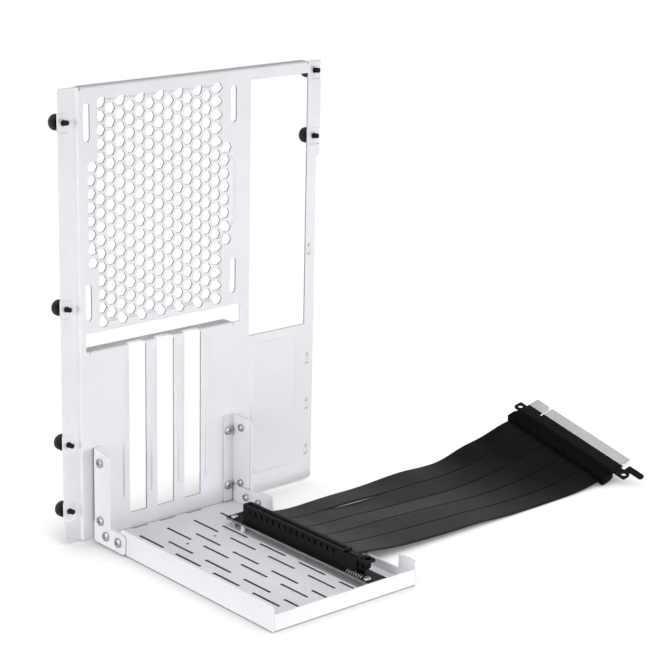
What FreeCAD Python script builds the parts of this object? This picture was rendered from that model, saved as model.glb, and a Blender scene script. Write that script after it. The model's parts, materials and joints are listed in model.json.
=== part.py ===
import FreeCAD, Part
import Sketcher
import math
import os
import re

doc = FreeCAD.newDocument("riser_card_kit")
dims = doc.addObject("Spreadsheet::Sheet", "dims")

# Sizes in millimetres, angles in degrees
SIZES = {
    "sheet_metal": 1.2,
    "fold_radius": 1.0,
    "fold_inside": 0.3,
    "tool_margin": 1.0,
    "panel_left": -83.45,
    "panel_front": 78.0,
    "panel_lift": 2.0,
    "panel_width": 176.0,
    "panel_height": 270.0,
    "panel_corner": 3.0,
    "flange_width": 11.2,
    "flange_setback": 2.0,
    "lip_left": 2.2,
    "lip_length": 163.5,
    "lip_depth": 4.5,
    "relief_width": 3.0,
    "relief_depth": 1.6,
    "tab_width": 2.6,
    "tab_height": 58.5,
    "io_left": 124.2,
    "io_lift": 104.0,
    "io_right": 7.35,
    "io_top": 7.25,
    "window_left": 4.2,
    "window_lift": 115.0,
    "window_width": 112.7,
    "window_height": 11.3,
    "card_lip_left": 7.0,
    "card_lip_length": 104.8,
    "card_lip_depth": 9.4,
    "card_left": 34.3,
    "card_lift": 9.1,
    "card_width": 12.3,
    "card_pitch": 20.32,
    "card_notch": 4.4,
    "card_hole_radius": 1.75,
    "card_hole_step": 14.7,
    "card_hole_back": 6.35,
    "rib_width": 2.0,
    "rib_proud": 0.6,
    "rib_lift": 20.0,
    "rib_length": 89.0,
    "rib_step": 4.0,
    "emboss_left": 125.7,
    "emboss_lift": 12.5,
    "emboss_right": 14.3,
    "emboss_height": 86.3,
    "emboss_proud": 0.7,
    "emboss_corner": 6.0,
    "fan_across": 58.85,
    "fan_shift": 0.95,
    "fan_pitch": 105.0,
    "fan_slot_width": 4.3,
    "fan_slot_length": 22.2,
    "cell_flats": 6.15,
    "cell_pitch": 8.03,
    "cell_step": 6.883,
    "grille_across": 56.92,
    "grille_shift": 1.55,
    "grille_margin": 8.0,
    "pad_recess": 0.6,
    "left_pad_width": 7.8,
    "left_pad_height": 11.7,
    "right_pad_inset": 5.8,
    "right_pad_height": 10.8,
    "left_screw_inset": 3.9,
    "right_screw_inset": 1.8,
    "left_screw_drop": 19.4,
    "left_screw_upper": 142.5,
    "left_screw_lower": 60.5,
    "left_screw_bottom": 19.1,
    "right_screw_drop": 6.2,
    "right_screw_step": 40.5,
    "thumb_shank": 1.5,
    "thumb_hole": 1.7,
    "thumb_tip": 4.3,
    "thumb_collar": 3.2,
    "thumb_collar_length": 1.2,
    "thumb_head": 4.8,
    "thumb_length": 8.6,
    "thumb_bevel": 0.6,
    "thumb_slot": 1.2,
    "hook_inset": 6.3,
    "hook_width": 3.2,
    "hook_height": 8.4,
    "hook_recess": 0.6,
    "hook_hole": 0.9,
    "hook_top": 152.3,
    "hook_upper": 81.0,
    "hook_lower": 50.5,
    "hook_bottom": 20.0,
    "tray_left": -75.65,
    "tray_width": 105.0,
    "tray_nose": 6.4,
    "tray_gap": 0.3,
    "tray_wall": 15.4,
    "front_rim": 10.2,
    "low_lip": 6.6,
    "wall_step": 12.8,
    "wall_step_length": 28.0,
    "cable_back": 40.0,
    "cable_front": 13.9,
    "slit_width": 1.8,
    "slit_length": 24.0,
    "slit_pitch": 36.0,
    "slit_start": 13.0,
    "slit_lag": 18.0,
    "slit_left": 24.0,
    "slit_shift": 8.1,
    "tongue_width": 11.4,
    "tongue_depth": 1.6,
    "tongue_step": 0.9,
    "pin_hole": 0.9,
    "pin_hole_back": 41.0,
    "plate_back": 3.0,
    "plate_arm": 17.6,
    "plate_foot": 33.3,
    "plate_lift": 0.6,
    "plate_top": 58.2,
    "foot_top": 12.6,
    "arm_corner": 5.0,
    "foot_corner": 3.0,
    "angle_flange": 8.2,
    "angle_leg": 16.5,
    "angle_lift": 2.0,
    "angle_gap": 0.3,
    "screw_shank": 1.5,
    "screw_hole": 1.65,
    "screw_head": 2.9,
    "screw_head_height": 1.7,
    "screw_reach": 1.8,
    "angle_screw_inset": 5.0,
    "angle_screw_top": 48.4,
    "angle_screw_bottom": 12.4,
    "arm_screw_back": 9.2,
    "arm_screw_top": 51.5,
    "arm_screw_bottom": 15.4,
    "foot_screw_back": 14.7,
    "foot_screw_front": 27.0,
    "foot_screw_up": 7.2,
    "nut_radius": 2.4,
    "nut_height": 1.5,
    "board_left": -0.65,
    "board_width": 14.0,
    "board_back": 31.0,
    "board_nose": 27.2,
    "board_thick": 1.6,
    "board_inset": 5.0,
    "board_screw_in": 3.0,
    "post_height": 4.0,
    "post_radius": 2.1,
    "post_bore": 1.3,
    "rest_radius": 1.7,
    "rest_inset": 1.9,
    "rest_back": 15.0,
    "board_hole": 1.45,
    "board_screw_shank": 1.2,
    "board_screw_head": 2.3,
    "board_screw_height": 1.5,
    "slot_centre": 6.55,
    "housing_width": 7.4,
    "housing_back": 42.2,
    "housing_length": 92.6,
    "housing_height": 10.6,
    "housing_end": 1.6,
    "housing_bevel": 1.2,
    "housing_floor": 1.4,
    "mouth_width": 1.9,
    "mouth_height": 1.6,
    "chamber_width": 3.9,
    "key_back": 13.6,
    "key_width": 1.8,
    "notch_length": 1.7,
    "notch_height": 2.4,
    "notch_depth": 0.8,
    "notch_drop": 1.7,
    "notch_pitch": 5.5,
    "notch_start": 7.0,
    "contact_wide": 0.6,
    "contact_thick": 0.35,
    "contact_tall": 7.0,
    "contact_pitch": 1.0,
    "cheek": 1.2,
    "cheek_length": 12.0,
    "cheek_height": 9.4,
    "cheek_gap": 0.3,
    "pivot_front": 6.5,
    "pivot_up": 3.6,
    "pivot_radius": 1.0,
    "pivot_clearance": 0.03,
    "latch_reach": 13.5,
    "latch_top": 6.6,
    "latch_back": 4.2,
    "latch_drop": 2.2,
    "latch_head": 7.4,
    "latch_head_height": 2.0,
    "latch_eye": 1.2,
    "pin_count_pitch": 2.0,
    "solder_wide": 0.7,
    "solder_long": 2.4,
    "solder_tall": 1.7,
    "solder_inset": 0.45,
    "solder_gap": 6.2,
    "boot_left": 10.6,
    "boot_right": 15.75,
    "boot_near": -51.6,
    "boot_length": 84.2,
    "boot_height": 5.8,
    "ribbon_width": 16.2,
    "ribbon_thick": 1.2,
    "ribbon_pitch": 16.6,
    "ribbon_near": -42.7,
    "ribbon_sink": 0.6,
    "ribbon_rise": 2.8,
    "ribbon_plug": 8.55,
    "plug_along": 252.45,
    "plug_across": -46.3,
    "plug_up": 9.4,
    "plug_yaw": -2.19,
    "plug_pitch": -16.33,
    "plug_roll": 14.43,
    "plug_thick": 1.6,
    "plug_tongue": 8.15,
    "plug_span": 85.2,
    "plug_root": 18.5,
    "plug_key": 71.5,
    "plug_key_width": 1.9,
    "plug_key_depth": 2.5,
    "shroud_back": 20.5,
    "shroud_depth": 9.0,
    "shroud_near": -2.0,
    "shroud_length": 87.6,
    "shroud_half": 3.0,
    "shroud_bevel": 0.8,
    "ear_radius": 3.3,
    "ear_hole": 1.5,
    "ear_back": 5.2,
    "ear_near": -6.1,
    "ear_far": 88.2,
    "ear_root": 4.0,
    "barb_width": 4.2,
    "barb_front": 3.4,
    "barb_near": -3.4,
    "barb_length": 13.1,
    "finger_wide": 0.75,
    "finger_long": 7.2,
    "finger_thick": 0.1,
    "finger_pitch": 1.0,
}
for row, (word, number) in enumerate(SIZES.items(), 1):
    dims.set("A%d" % row, str(number))
    dims.setAlias("A%d" % row, word)
doc.recompute()

WORD = re.compile(r"[a-z_]+")


def tie(text):
    return WORD.sub(lambda hit: "dims." + hit.group(0) if hit.group(0) in SIZES else hit.group(0), text)


def size(word):
    return float(dims.get(word))


def bind(thing, prop, text):
    thing.setExpression(prop, tie(text))


def place(thing, x, y, z):
    bind(thing, "Placement.Base.x", x)
    bind(thing, "Placement.Base.y", y)
    bind(thing, "Placement.Base.z", z)


def box(name, x, y, z, dx, dy, dz):
    thing = doc.addObject("Part::Box", name)
    bind(thing, "Length", dx)
    bind(thing, "Width", dy)
    bind(thing, "Height", dz)
    place(thing, x, y, z)
    return thing


TURNS = {
    "X": FreeCAD.Rotation(FreeCAD.Vector(0, 1, 0), 90),
    "Y": FreeCAD.Rotation(FreeCAD.Vector(1, 0, 0), -90),
    "Z": FreeCAD.Rotation(),
}


def rod(name, axis, x, y, z, radius, length):
    thing = doc.addObject("Part::Cylinder", name)
    bind(thing, "Radius", radius)
    bind(thing, "Height", length)
    thing.Placement = FreeCAD.Placement(FreeCAD.Vector(0, 0, 0), TURNS[axis])
    place(thing, x, y, z)
    return thing


def fuse(name, pieces):
    thing = doc.addObject("Part::MultiFuse", name)
    thing.Shapes = pieces
    thing.Refine = True
    return thing


def group(name, pieces):
    thing = doc.addObject("Part::Compound", name)
    thing.Links = pieces
    return thing


def cut(name, base, tools):
    thing = doc.addObject("Part::Cut", name)
    thing.Base = base
    thing.Tool = tools[0] if len(tools) == 1 else fuse(name + "_tools", tools)
    thing.Refine = True
    return thing


def common(name, base, tool):
    thing = doc.addObject("Part::Common", name)
    thing.Base = base
    thing.Tool = tool
    thing.Refine = True
    return thing


def outline(body, name, role, offset, corners):
    sketch = body.newObject("Sketcher::SketchObject", name)
    plane = [datum for datum in body.Origin.OriginFeatures if datum.Role == role][0]
    sketch.AttachmentSupport = [(plane, "")]
    sketch.MapMode = "FlatFace"
    bind(sketch, "AttachmentOffset.Base.z", offset)
    count = len(corners)
    ring = []
    for i in range(count):
        turn = 2 * math.pi * i / count
        ring.append(FreeCAD.Vector(50 * math.cos(turn), 50 * math.sin(turn), 0))
    for i in range(count):
        sketch.addGeometry(Part.LineSegment(ring[i], ring[(i + 1) % count]), False)
    for i in range(count):
        sketch.addConstraint(Sketcher.Constraint("Coincident", i, 2, (i + 1) % count, 1))
    for i, (across, up) in enumerate(corners):
        pin = sketch.addConstraint(Sketcher.Constraint("DistanceX", -1, 1, i, 1, ring[i].x))
        sketch.renameConstraint(pin, "across_%d" % i)
        bind(sketch, "Constraints.across_%d" % i, across)
        pin = sketch.addConstraint(Sketcher.Constraint("DistanceY", -1, 1, i, 1, ring[i].y))
        sketch.renameConstraint(pin, "up_%d" % i)
        bind(sketch, "Constraints.up_%d" % i, up)
    return sketch


def prism(name, role, offset, corners, length):
    body = doc.addObject("PartDesign::Body", name)
    sketch = outline(body, name + "_outline", role, offset, corners)
    pad = body.newObject("PartDesign::Pad", name + "_pad")
    pad.Profile = sketch
    bind(pad, "Length", length)
    sketch.Visibility = False
    body.Tip = pad
    doc.recompute()
    return body


def dress(body, kind, name, amount, test):
    base = body.Tip
    picked = []
    for number, edge in enumerate(base.Shape.Edges, 1):
        if test(edge):
            picked.append("Edge%d" % number)
    feature = body.newObject("PartDesign::" + kind, name)
    feature.Base = (base, picked)
    bind(feature, "Radius" if kind == "Fillet" else "Size", amount)
    body.Tip = feature
    doc.recompute()
    return feature


def runs(edge, axis):
    span = edge.BoundBox
    lengths = {"x": span.XLength, "y": span.YLength, "z": span.ZLength}
    others = [lengths[key] for key in lengths if key != axis]
    return lengths[axis] > 1e-6 and max(others) < 1e-6


def near(edge, **where):
    middle = edge.BoundBox.Center
    spot = {"x": middle.x, "y": middle.y, "z": middle.z}
    return all(abs(spot[key] - where[key]) < 1e-4 for key in where)


# Rear panel: folded sheet with the left flange set back by a joggle
panel_x = "panel_left"
panel_right = "panel_left + panel_width"
panel_back = "panel_front + sheet_metal"
panel_top = "panel_lift + panel_height"
flange_front = "panel_front + flange_setback"
sheet_corners = [
    ("panel_left - flange_width", flange_front),
    ("panel_left", flange_front),
    ("panel_left", "panel_front"),
    (panel_right, "panel_front"),
    (panel_right, panel_back),
    ("panel_left + sheet_metal", panel_back),
    ("panel_left + sheet_metal", flange_front + " + sheet_metal"),
    ("panel_left - flange_width", flange_front + " + sheet_metal"),
]
sheet = prism("panel_sheet", "XY_Plane", "panel_lift", sheet_corners, "panel_height")
fold_x = size("panel_left")
face_y = size("panel_front")
metal = size("sheet_metal")
back_y = face_y + size("flange_setback")
dress(
    sheet, "Fillet", "panel_outer_folds", "fold_radius",
    lambda e: runs(e, "z") and (near(e, x=fold_x, y=face_y) or near(e, x=fold_x + metal, y=back_y + metal)),
)
dress(
    sheet, "Fillet", "panel_inner_folds", "fold_inside",
    lambda e: runs(e, "z") and (near(e, x=fold_x, y=back_y) or near(e, x=fold_x + metal, y=face_y + metal)),
)
flange_x = fold_x - size("flange_width")
far_x = fold_x + size("panel_width")
dress(
    sheet, "Fillet", "panel_corners", "panel_corner",
    lambda e: runs(e, "y") and (near(e, x=flange_x) or near(e, x=far_x, z=size("panel_lift"))),
)

panel_parts = [sheet]
panel_tools = []

panel_parts.append(box(
    "panel_tab", panel_right + " - tool_margin", "panel_front", panel_top + " - tab_height",
    "tab_width + tool_margin", "sheet_metal", "tab_height",
))
panel_parts.append(box(
    "panel_top_lip", "panel_left + lip_left", "panel_front", panel_top + " - sheet_metal",
    "lip_length", "lip_depth", "sheet_metal",
))
panel_parts.append(box(
    "panel_card_lip", "panel_left + card_lip_left", "panel_front", "panel_lift + window_lift - sheet_metal",
    "card_lip_length", "card_lip_depth", "sheet_metal",
))
panel_tools.append(box(
    "panel_relief", "panel_left + lip_left + lip_length", "panel_front - tool_margin",
    panel_top + " - relief_depth", "relief_width", "sheet_metal + 2 * tool_margin",
    "relief_depth + tool_margin",
))
panel_tools.append(box(
    "panel_io", "panel_left + io_left", "panel_front - tool_margin", "panel_lift + io_lift",
    "panel_width - io_left - io_right", "sheet_metal + 2 * tool_margin", "panel_height - io_lift - io_top",
))
panel_tools.append(box(
    "panel_window", "panel_left + window_left", "panel_front - tool_margin", "panel_lift + window_lift",
    "window_width", "sheet_metal + 2 * tool_margin", "window_height",
))
for i in range(3):
    left = "panel_left + card_left + %d * card_pitch" % i
    panel_tools.append(box(
        "panel_card_slot_%d" % (i + 1), left, "panel_front - tool_margin", "panel_lift + card_lift",
        "card_width", "tool_margin + card_notch", "window_lift - card_lift + tool_margin",
    ))
    panel_tools.append(rod(
        "panel_card_hole_%d" % (i + 1), "Z", left + " + card_hole_step", "panel_front + card_hole_back",
        "panel_lift + window_lift - sheet_metal - tool_margin", "card_hole_radius",
        "sheet_metal + 2 * tool_margin",
    ))
for i in range(4):
    middle = "panel_left + card_left - rib_step + %d * card_pitch" % i
    panel_parts.append(box(
        "panel_rib_%d" % (i + 1), middle + " - rib_width / 2", "panel_front - rib_proud",
        "panel_lift + rib_lift + rib_width / 2", "rib_width", "rib_proud + sheet_metal / 2",
        "rib_length - rib_width",
    ))
    panel_parts.append(rod(
        "panel_rib_foot_%d" % (i + 1), "Y", middle, "panel_front - rib_proud",
        "panel_lift + rib_lift + rib_width / 2", "rib_width / 2", "rib_proud + sheet_metal / 2",
    ))
    panel_parts.append(rod(
        "panel_rib_head_%d" % (i + 1), "Y", middle, "panel_front - rib_proud",
        "panel_lift + rib_lift + rib_length - rib_width / 2", "rib_width / 2", "rib_proud + sheet_metal / 2",
    ))
    panel_tools.append(box(
        "panel_groove_%d" % (i + 1), middle + " - rib_width / 4", panel_back + " - rib_proud",
        "panel_lift + rib_lift + rib_width / 2", "rib_width / 2", "rib_proud + tool_margin",
        "rib_length - rib_width",
    ))


def embossed(name, inset, front, depth):
    low_x = "panel_left + emboss_left + " + inset
    high_x = panel_right + " - emboss_right - " + inset
    low_z = "panel_lift + emboss_lift + " + inset
    high_z = "panel_lift + emboss_lift + emboss_height - " + inset
    corners = [(low_x, low_z), (high_x, low_z), (high_x, high_z), (low_x, high_z)]
    body = prism(name, "XZ_Plane", "-(" + front + " + " + depth + ")", corners, depth)
    dress(body, "Fillet", name + "_corners", "emboss_corner - " + inset, lambda e: runs(e, "y"))
    return body


panel_parts.append(embossed(
    "panel_emboss", "0", "panel_front - emboss_proud", "(emboss_proud + sheet_metal / 2)",
))
panel_tools.append(embossed(
    "panel_emboss_back", "sheet_metal", panel_back + " - emboss_proud", "(emboss_proud + tool_margin)",
))

field_middle = "panel_lift + (window_lift + window_height + panel_height) / 2"
for side in (-1, 1):
    for level in (-1, 1):
        name = "panel_fan_%s_%s" % ("left" if side < 0 else "right", "low" if level < 0 else "high")
        middle = "panel_left + fan_across + %d * fan_pitch / 2" % side
        up = field_middle + " - fan_shift + %d * fan_pitch / 2" % level
        half = "(fan_slot_length - fan_slot_width) / 2"
        front = "panel_front - tool_margin"
        deep = "sheet_metal + 2 * tool_margin"
        panel_tools.append(box(
            name, middle + " - fan_slot_width / 2", front, up + " - " + half,
            "fan_slot_width", deep, "2 * " + half,
        ))
        foot = up + " - " + half
        head = up + " + " + half
        panel_tools.append(rod(name + "_foot", "Y", middle, front, foot, "fan_slot_width / 2", deep))
        panel_tools.append(rod(name + "_head", "Y", middle, front, head, "fan_slot_width / 2", deep))

thumb_spots = []
left_ups = (
    panel_top + " - left_screw_drop",
    "panel_lift + left_screw_upper",
    "panel_lift + left_screw_lower",
    "panel_lift + left_screw_bottom",
)
for place_name, up in enumerate(left_ups, 1):
    edge = "panel_left - flange_width"
    panel_parts.append(box(
        "panel_left_pad_%d" % place_name, edge, flange_front + " + sheet_metal / 2",
        up + " - left_pad_height / 2", "left_pad_width", "sheet_metal / 2 + pad_recess", "left_pad_height",
    ))
    panel_tools.append(box(
        "panel_left_recess_%d" % place_name, edge + " - tool_margin", flange_front + " - tool_margin",
        up + " - left_pad_height / 2", "left_pad_width + tool_margin", "pad_recess + tool_margin",
        "left_pad_height",
    ))
    spot = (edge + " + left_screw_inset", flange_front + " + pad_recess", up)
    thumb_spots.append(("thumbscrew_left_%d" % place_name, spot))
for place_name in (1, 2):
    up = panel_top + " - right_screw_drop - %d * right_screw_step" % (place_name - 1)
    edge = panel_right + " - right_pad_inset"
    panel_parts.append(box(
        "panel_right_pad_%d" % place_name, edge, "panel_front + sheet_metal / 2",
        up + " - right_pad_height / 2", "right_pad_inset + tab_width", "sheet_metal / 2 + pad_recess",
        "right_pad_height",
    ))
    panel_tools.append(box(
        "panel_right_recess_%d" % place_name, edge, "panel_front - tool_margin",
        up + " - right_pad_height / 2",
        "right_pad_inset + tab_width + tool_margin", "pad_recess + tool_margin", "right_pad_height",
    ))
    spot = (panel_right + " - right_screw_inset", "panel_front + pad_recess", up)
    thumb_spots.append(("thumbscrew_right_%d" % place_name, spot))
for name, (x, y, z) in thumb_spots:
    panel_tools.append(rod(
        "panel_hole_" + name, "Y", x, y + " - tool_margin", z, "thumb_hole", "sheet_metal + 2 * tool_margin",
    ))
hook_x = panel_right + " - hook_inset"
for number, word in enumerate(("top", "upper", "lower", "bottom"), 1):
    up = "panel_lift + hook_" + word
    panel_parts.append(box(
        "panel_hook_%d" % number, hook_x, "panel_front + sheet_metal / 2", up + " - hook_height / 2",
        "hook_width", "sheet_metal / 2 + hook_recess", "hook_height",
    ))
    panel_tools.append(box(
        "panel_hook_recess_%d" % number, hook_x, "panel_front - tool_margin", up + " - hook_height / 2",
        "hook_width", "hook_recess + tool_margin", "hook_height",
    ))
    panel_tools.append(rod(
        "panel_hook_hole_%d" % number, "Y", hook_x + " + hook_width / 2", "panel_front - tool_margin",
        up + " + hook_height / 2 - 2 * hook_hole", "hook_hole", "sheet_metal + hook_recess + 2 * tool_margin",
    ))

# Panel angle screw holes on both sides
sides = (("left", 1, "tray_left"), ("right", -1, "tray_left + tray_width"))
for label, way, edge in sides:
    for word in ("top", "bottom"):
        panel_tools.append(rod(
            "panel_angle_hole_%s_%s" % (label, word), "Y", edge + " + %d * angle_screw_inset" % way,
            "panel_front - tool_margin", "angle_screw_" + word, "screw_hole", "sheet_metal + 2 * tool_margin",
        ))

panel_raised = fuse("panel_raised", panel_parts)
panel_open = cut("panel_open", panel_raised, panel_tools)

# The folded sheet in three touching lengths, parted along the edges of the window and the I/O opening
zone_left = "panel_left - flange_width - tool_margin"
zone_front = "panel_front - 2 * tool_margin"
zone_depth = "card_lip_depth + 3 * tool_margin"
window_edge = "panel_left + window_left + window_width"
fan_zone = box(
    "fan_zone", zone_left, zone_front, "panel_lift + window_lift + window_height",
    "io_left + flange_width + tool_margin", zone_depth,
    "panel_height - window_lift - window_height + tool_margin",
)
card_zone = fuse("card_zone", [
    box(
        "card_zone_left", zone_left, zone_front, "0",
        "window_left + window_width + flange_width + tool_margin", zone_depth, "panel_lift + window_lift",
    ),
    box(
        "card_zone_right", window_edge, zone_front, "0",
        "panel_width + tab_width + tool_margin - window_left - window_width", zone_depth,
        "panel_lift + io_lift",
    ),
])
rear_panel = common("rear_panel", panel_open, card_zone)
io_frame = cut("io_frame", panel_open, [fan_zone, card_zone])
fan_wall = common("fan_wall", panel_open, fan_zone)

# Grille: flat-topped hexagons in an eight-sided field
cell_reach = size("cell_flats") / math.sqrt(3)
column_step = size("cell_step")
window_top = size("window_lift") + size("window_height")
field_height = size("panel_height") - window_top - size("grille_margin")
grille_z = size("panel_lift") + (window_top + size("panel_height")) / 2 - size("grille_shift")
half_rows = int((field_height - size("cell_flats")) / size("cell_pitch") / 2)
cells = []
for column in range(-7, 8):
    if abs(column) == 7:
        rows = [i + 0.5 for i in range(-(half_rows // 2), half_rows // 2)]
    elif column % 2:
        rows = [i + 0.5 for i in range(-half_rows, half_rows)]
    else:
        rows = list(range(-half_rows, half_rows + 1))
    for row in rows:
        middle = FreeCAD.Vector(
            size("panel_left") + size("grille_across") + column * column_step,
            size("panel_front") - size("tool_margin"),
            grille_z + row * size("cell_pitch"),
        )
        ring = []
        for i in range(7):
            turn = math.radians(60 * i)
            ring.append(middle + FreeCAD.Vector(cell_reach * math.cos(turn), 0, cell_reach * math.sin(turn)))
        face = Part.Face(Part.makePolygon(ring))
        cells.append(face.extrude(FreeCAD.Vector(0, size("sheet_metal") + 2 * size("tool_margin"), 0)))
grille = doc.addObject("Part::Feature", "panel_grille")
grille.Shape = Part.makeCompound(cells)
fan_panel = cut("fan_panel", fan_wall, [grille])

# Captive thumbscrews
nodes = [rear_panel, fan_panel, io_frame]
for name, (x, y, z) in thumb_spots:
    seat = y + " + sheet_metal"
    tip = "-(sheet_metal + thumb_tip)"
    corners = [
        ("0", tip),
        ("thumb_shank - thumb_bevel", tip),
        ("thumb_shank", tip + " + thumb_bevel"),
        ("thumb_shank", "0"),
        ("thumb_collar", "0"),
        ("thumb_collar", "thumb_collar_length"),
        ("thumb_head - thumb_bevel", "thumb_collar_length"),
        ("thumb_head", "thumb_collar_length + thumb_bevel"),
        ("thumb_head", "thumb_length - thumb_bevel"),
        ("thumb_head - thumb_bevel", "thumb_length"),
        ("0", "thumb_length"),
    ]
    body = doc.addObject("PartDesign::Body", name + "_turned")
    sketch = outline(body, name + "_profile", "XY_Plane", "0", corners)
    turned = body.newObject("PartDesign::Revolution", name + "_revolution")
    turned.Profile = sketch
    turned.ReferenceAxis = (sketch, ["V_Axis"])
    turned.Angle = 360
    body.Tip = turned
    place(body, x, seat, z)
    slot = box(
        name + "_slot", x + " - thumb_head - tool_margin", seat + " + thumb_length - thumb_slot",
        z + " - thumb_slot / 2", "2 * (thumb_head + tool_margin)", "thumb_slot + tool_margin", "thumb_slot",
    )
    nodes.append(cut(name, body, [slot]))

# Tray: folded pan with side walls, a front rim and a low lip under the cable
tray_length = "(housing_back + housing_length + board_nose + tray_nose)"
tray_front = "panel_front - " + tray_length
tray_right = "tray_left + tray_width"
tray_block = box(
    "tray_block", "tray_left", tray_front, "0", "tray_width", tray_length + " - tray_gap", "tray_wall",
)
tray_tools = [
    box(
        "tray_inside", "tray_left + sheet_metal", tray_front + " + sheet_metal", "sheet_metal",
        "tray_width - 2 * sheet_metal", tray_length + " + tool_margin", "tray_wall",
    ),
    box(
        "tray_front_drop", "tray_left + sheet_metal", tray_front + " - tool_margin", "front_rim",
        "tray_width - 2 * sheet_metal", "sheet_metal + 2 * tool_margin", "tray_wall",
    ),
    box(
        "tray_left_step", "tray_left - tool_margin", "panel_front - wall_step_length", "wall_step",
        "sheet_metal + 2 * tool_margin", "wall_step_length + tool_margin", "tray_wall",
    ),
    box(
        "tray_right_step", tray_right + " - sheet_metal - tool_margin", "panel_front - wall_step_length",
        "wall_step", "sheet_metal + 2 * tool_margin", "wall_step_length + tool_margin", "tray_wall",
    ),
    box(
        "tray_cable_gap", tray_right + " - sheet_metal - tool_margin", tray_front + " + cable_front",
        "low_lip", "sheet_metal + 2 * tool_margin", tray_length + " - cable_front - cable_back", "tray_wall",
    ),
]
for column in range(-1, 4):
    for row in range(4):
        name = "tray_slit_%d_%d" % (column + 2, row + 1)
        if column >= 0:
            tray_tools.append(box(
                name + "_even", "tray_left + slit_left + %d * card_pitch - slit_width / 2" % column,
                "panel_front - slit_start - slit_length - %d * slit_pitch" % row, "-tool_margin",
                "slit_width", "slit_length", "sheet_metal + 2 * tool_margin",
            ))
        if column < 3:
            tray_tools.append(box(
                name + "_odd",
                "tray_left + slit_left + slit_shift + %d * card_pitch - slit_width / 2" % column,
                "panel_front - slit_start - slit_lag - slit_length - %d * slit_pitch" % row, "-tool_margin",
                "slit_width", "slit_length", "sheet_metal + 2 * tool_margin",
            ))
for i in range(3):
    left = "panel_left + card_left + tongue_step + %d * card_pitch" % i
    tray_tools.append(box(
        "tray_tongue_%d" % (i + 1), left, "panel_front - tray_gap - tongue_depth", "-tool_margin",
        "tongue_width", "tongue_depth + tool_margin", "sheet_metal + 2 * tool_margin",
    ))
for i in range(2):
    spot = "panel_left + card_left + card_width + %d * card_pitch" % i
    tray_tools.append(rod(
        "tray_pin_hole_%d" % (i + 1), "Z", spot, "panel_front - pin_hole_back", "-tool_margin",
        "pin_hole", "sheet_metal + 2 * tool_margin",
    ))
screw_spots = []
for word in ("top", "bottom"):
    screw_spots.append(("arm_" + word, "panel_front - arm_screw_back", "arm_screw_" + word))
for word in ("back", "front"):
    screw_spots.append(("foot_" + word, "panel_front - foot_screw_" + word, "foot_screw_up"))
for label, way, edge in sides:
    for word, y, z in screw_spots[2:]:
        start = edge + (" - tool_margin" if way > 0 else " - sheet_metal - tool_margin")
        tray_tools.append(rod(
            "tray_hole_%s_%s" % (label, word), "X", start, y, z,
            "screw_hole", "sheet_metal + 2 * tool_margin",
        ))
tray_cut = cut("tray_cut", tray_block, tray_tools)
doc.recompute()
tray = doc.addObject("PartDesign::Body", "tray")
tray.BaseFeature = tray_cut
doc.recompute()
pan_left = size("tray_left")
pan_right = pan_left + size("tray_width")
pan_length = size("housing_back") + size("housing_length") + size("board_nose") + size("tray_nose")
pan_front = size("panel_front") - pan_length
dress(
    tray, "Fillet", "tray_folds", "fold_radius",
    lambda e: (runs(e, "y") and (near(e, x=pan_left, z=0) or near(e, x=pan_right, z=0)))
    or (runs(e, "x") and near(e, y=pan_front, z=0)),
)
nodes.append(tray)

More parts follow.
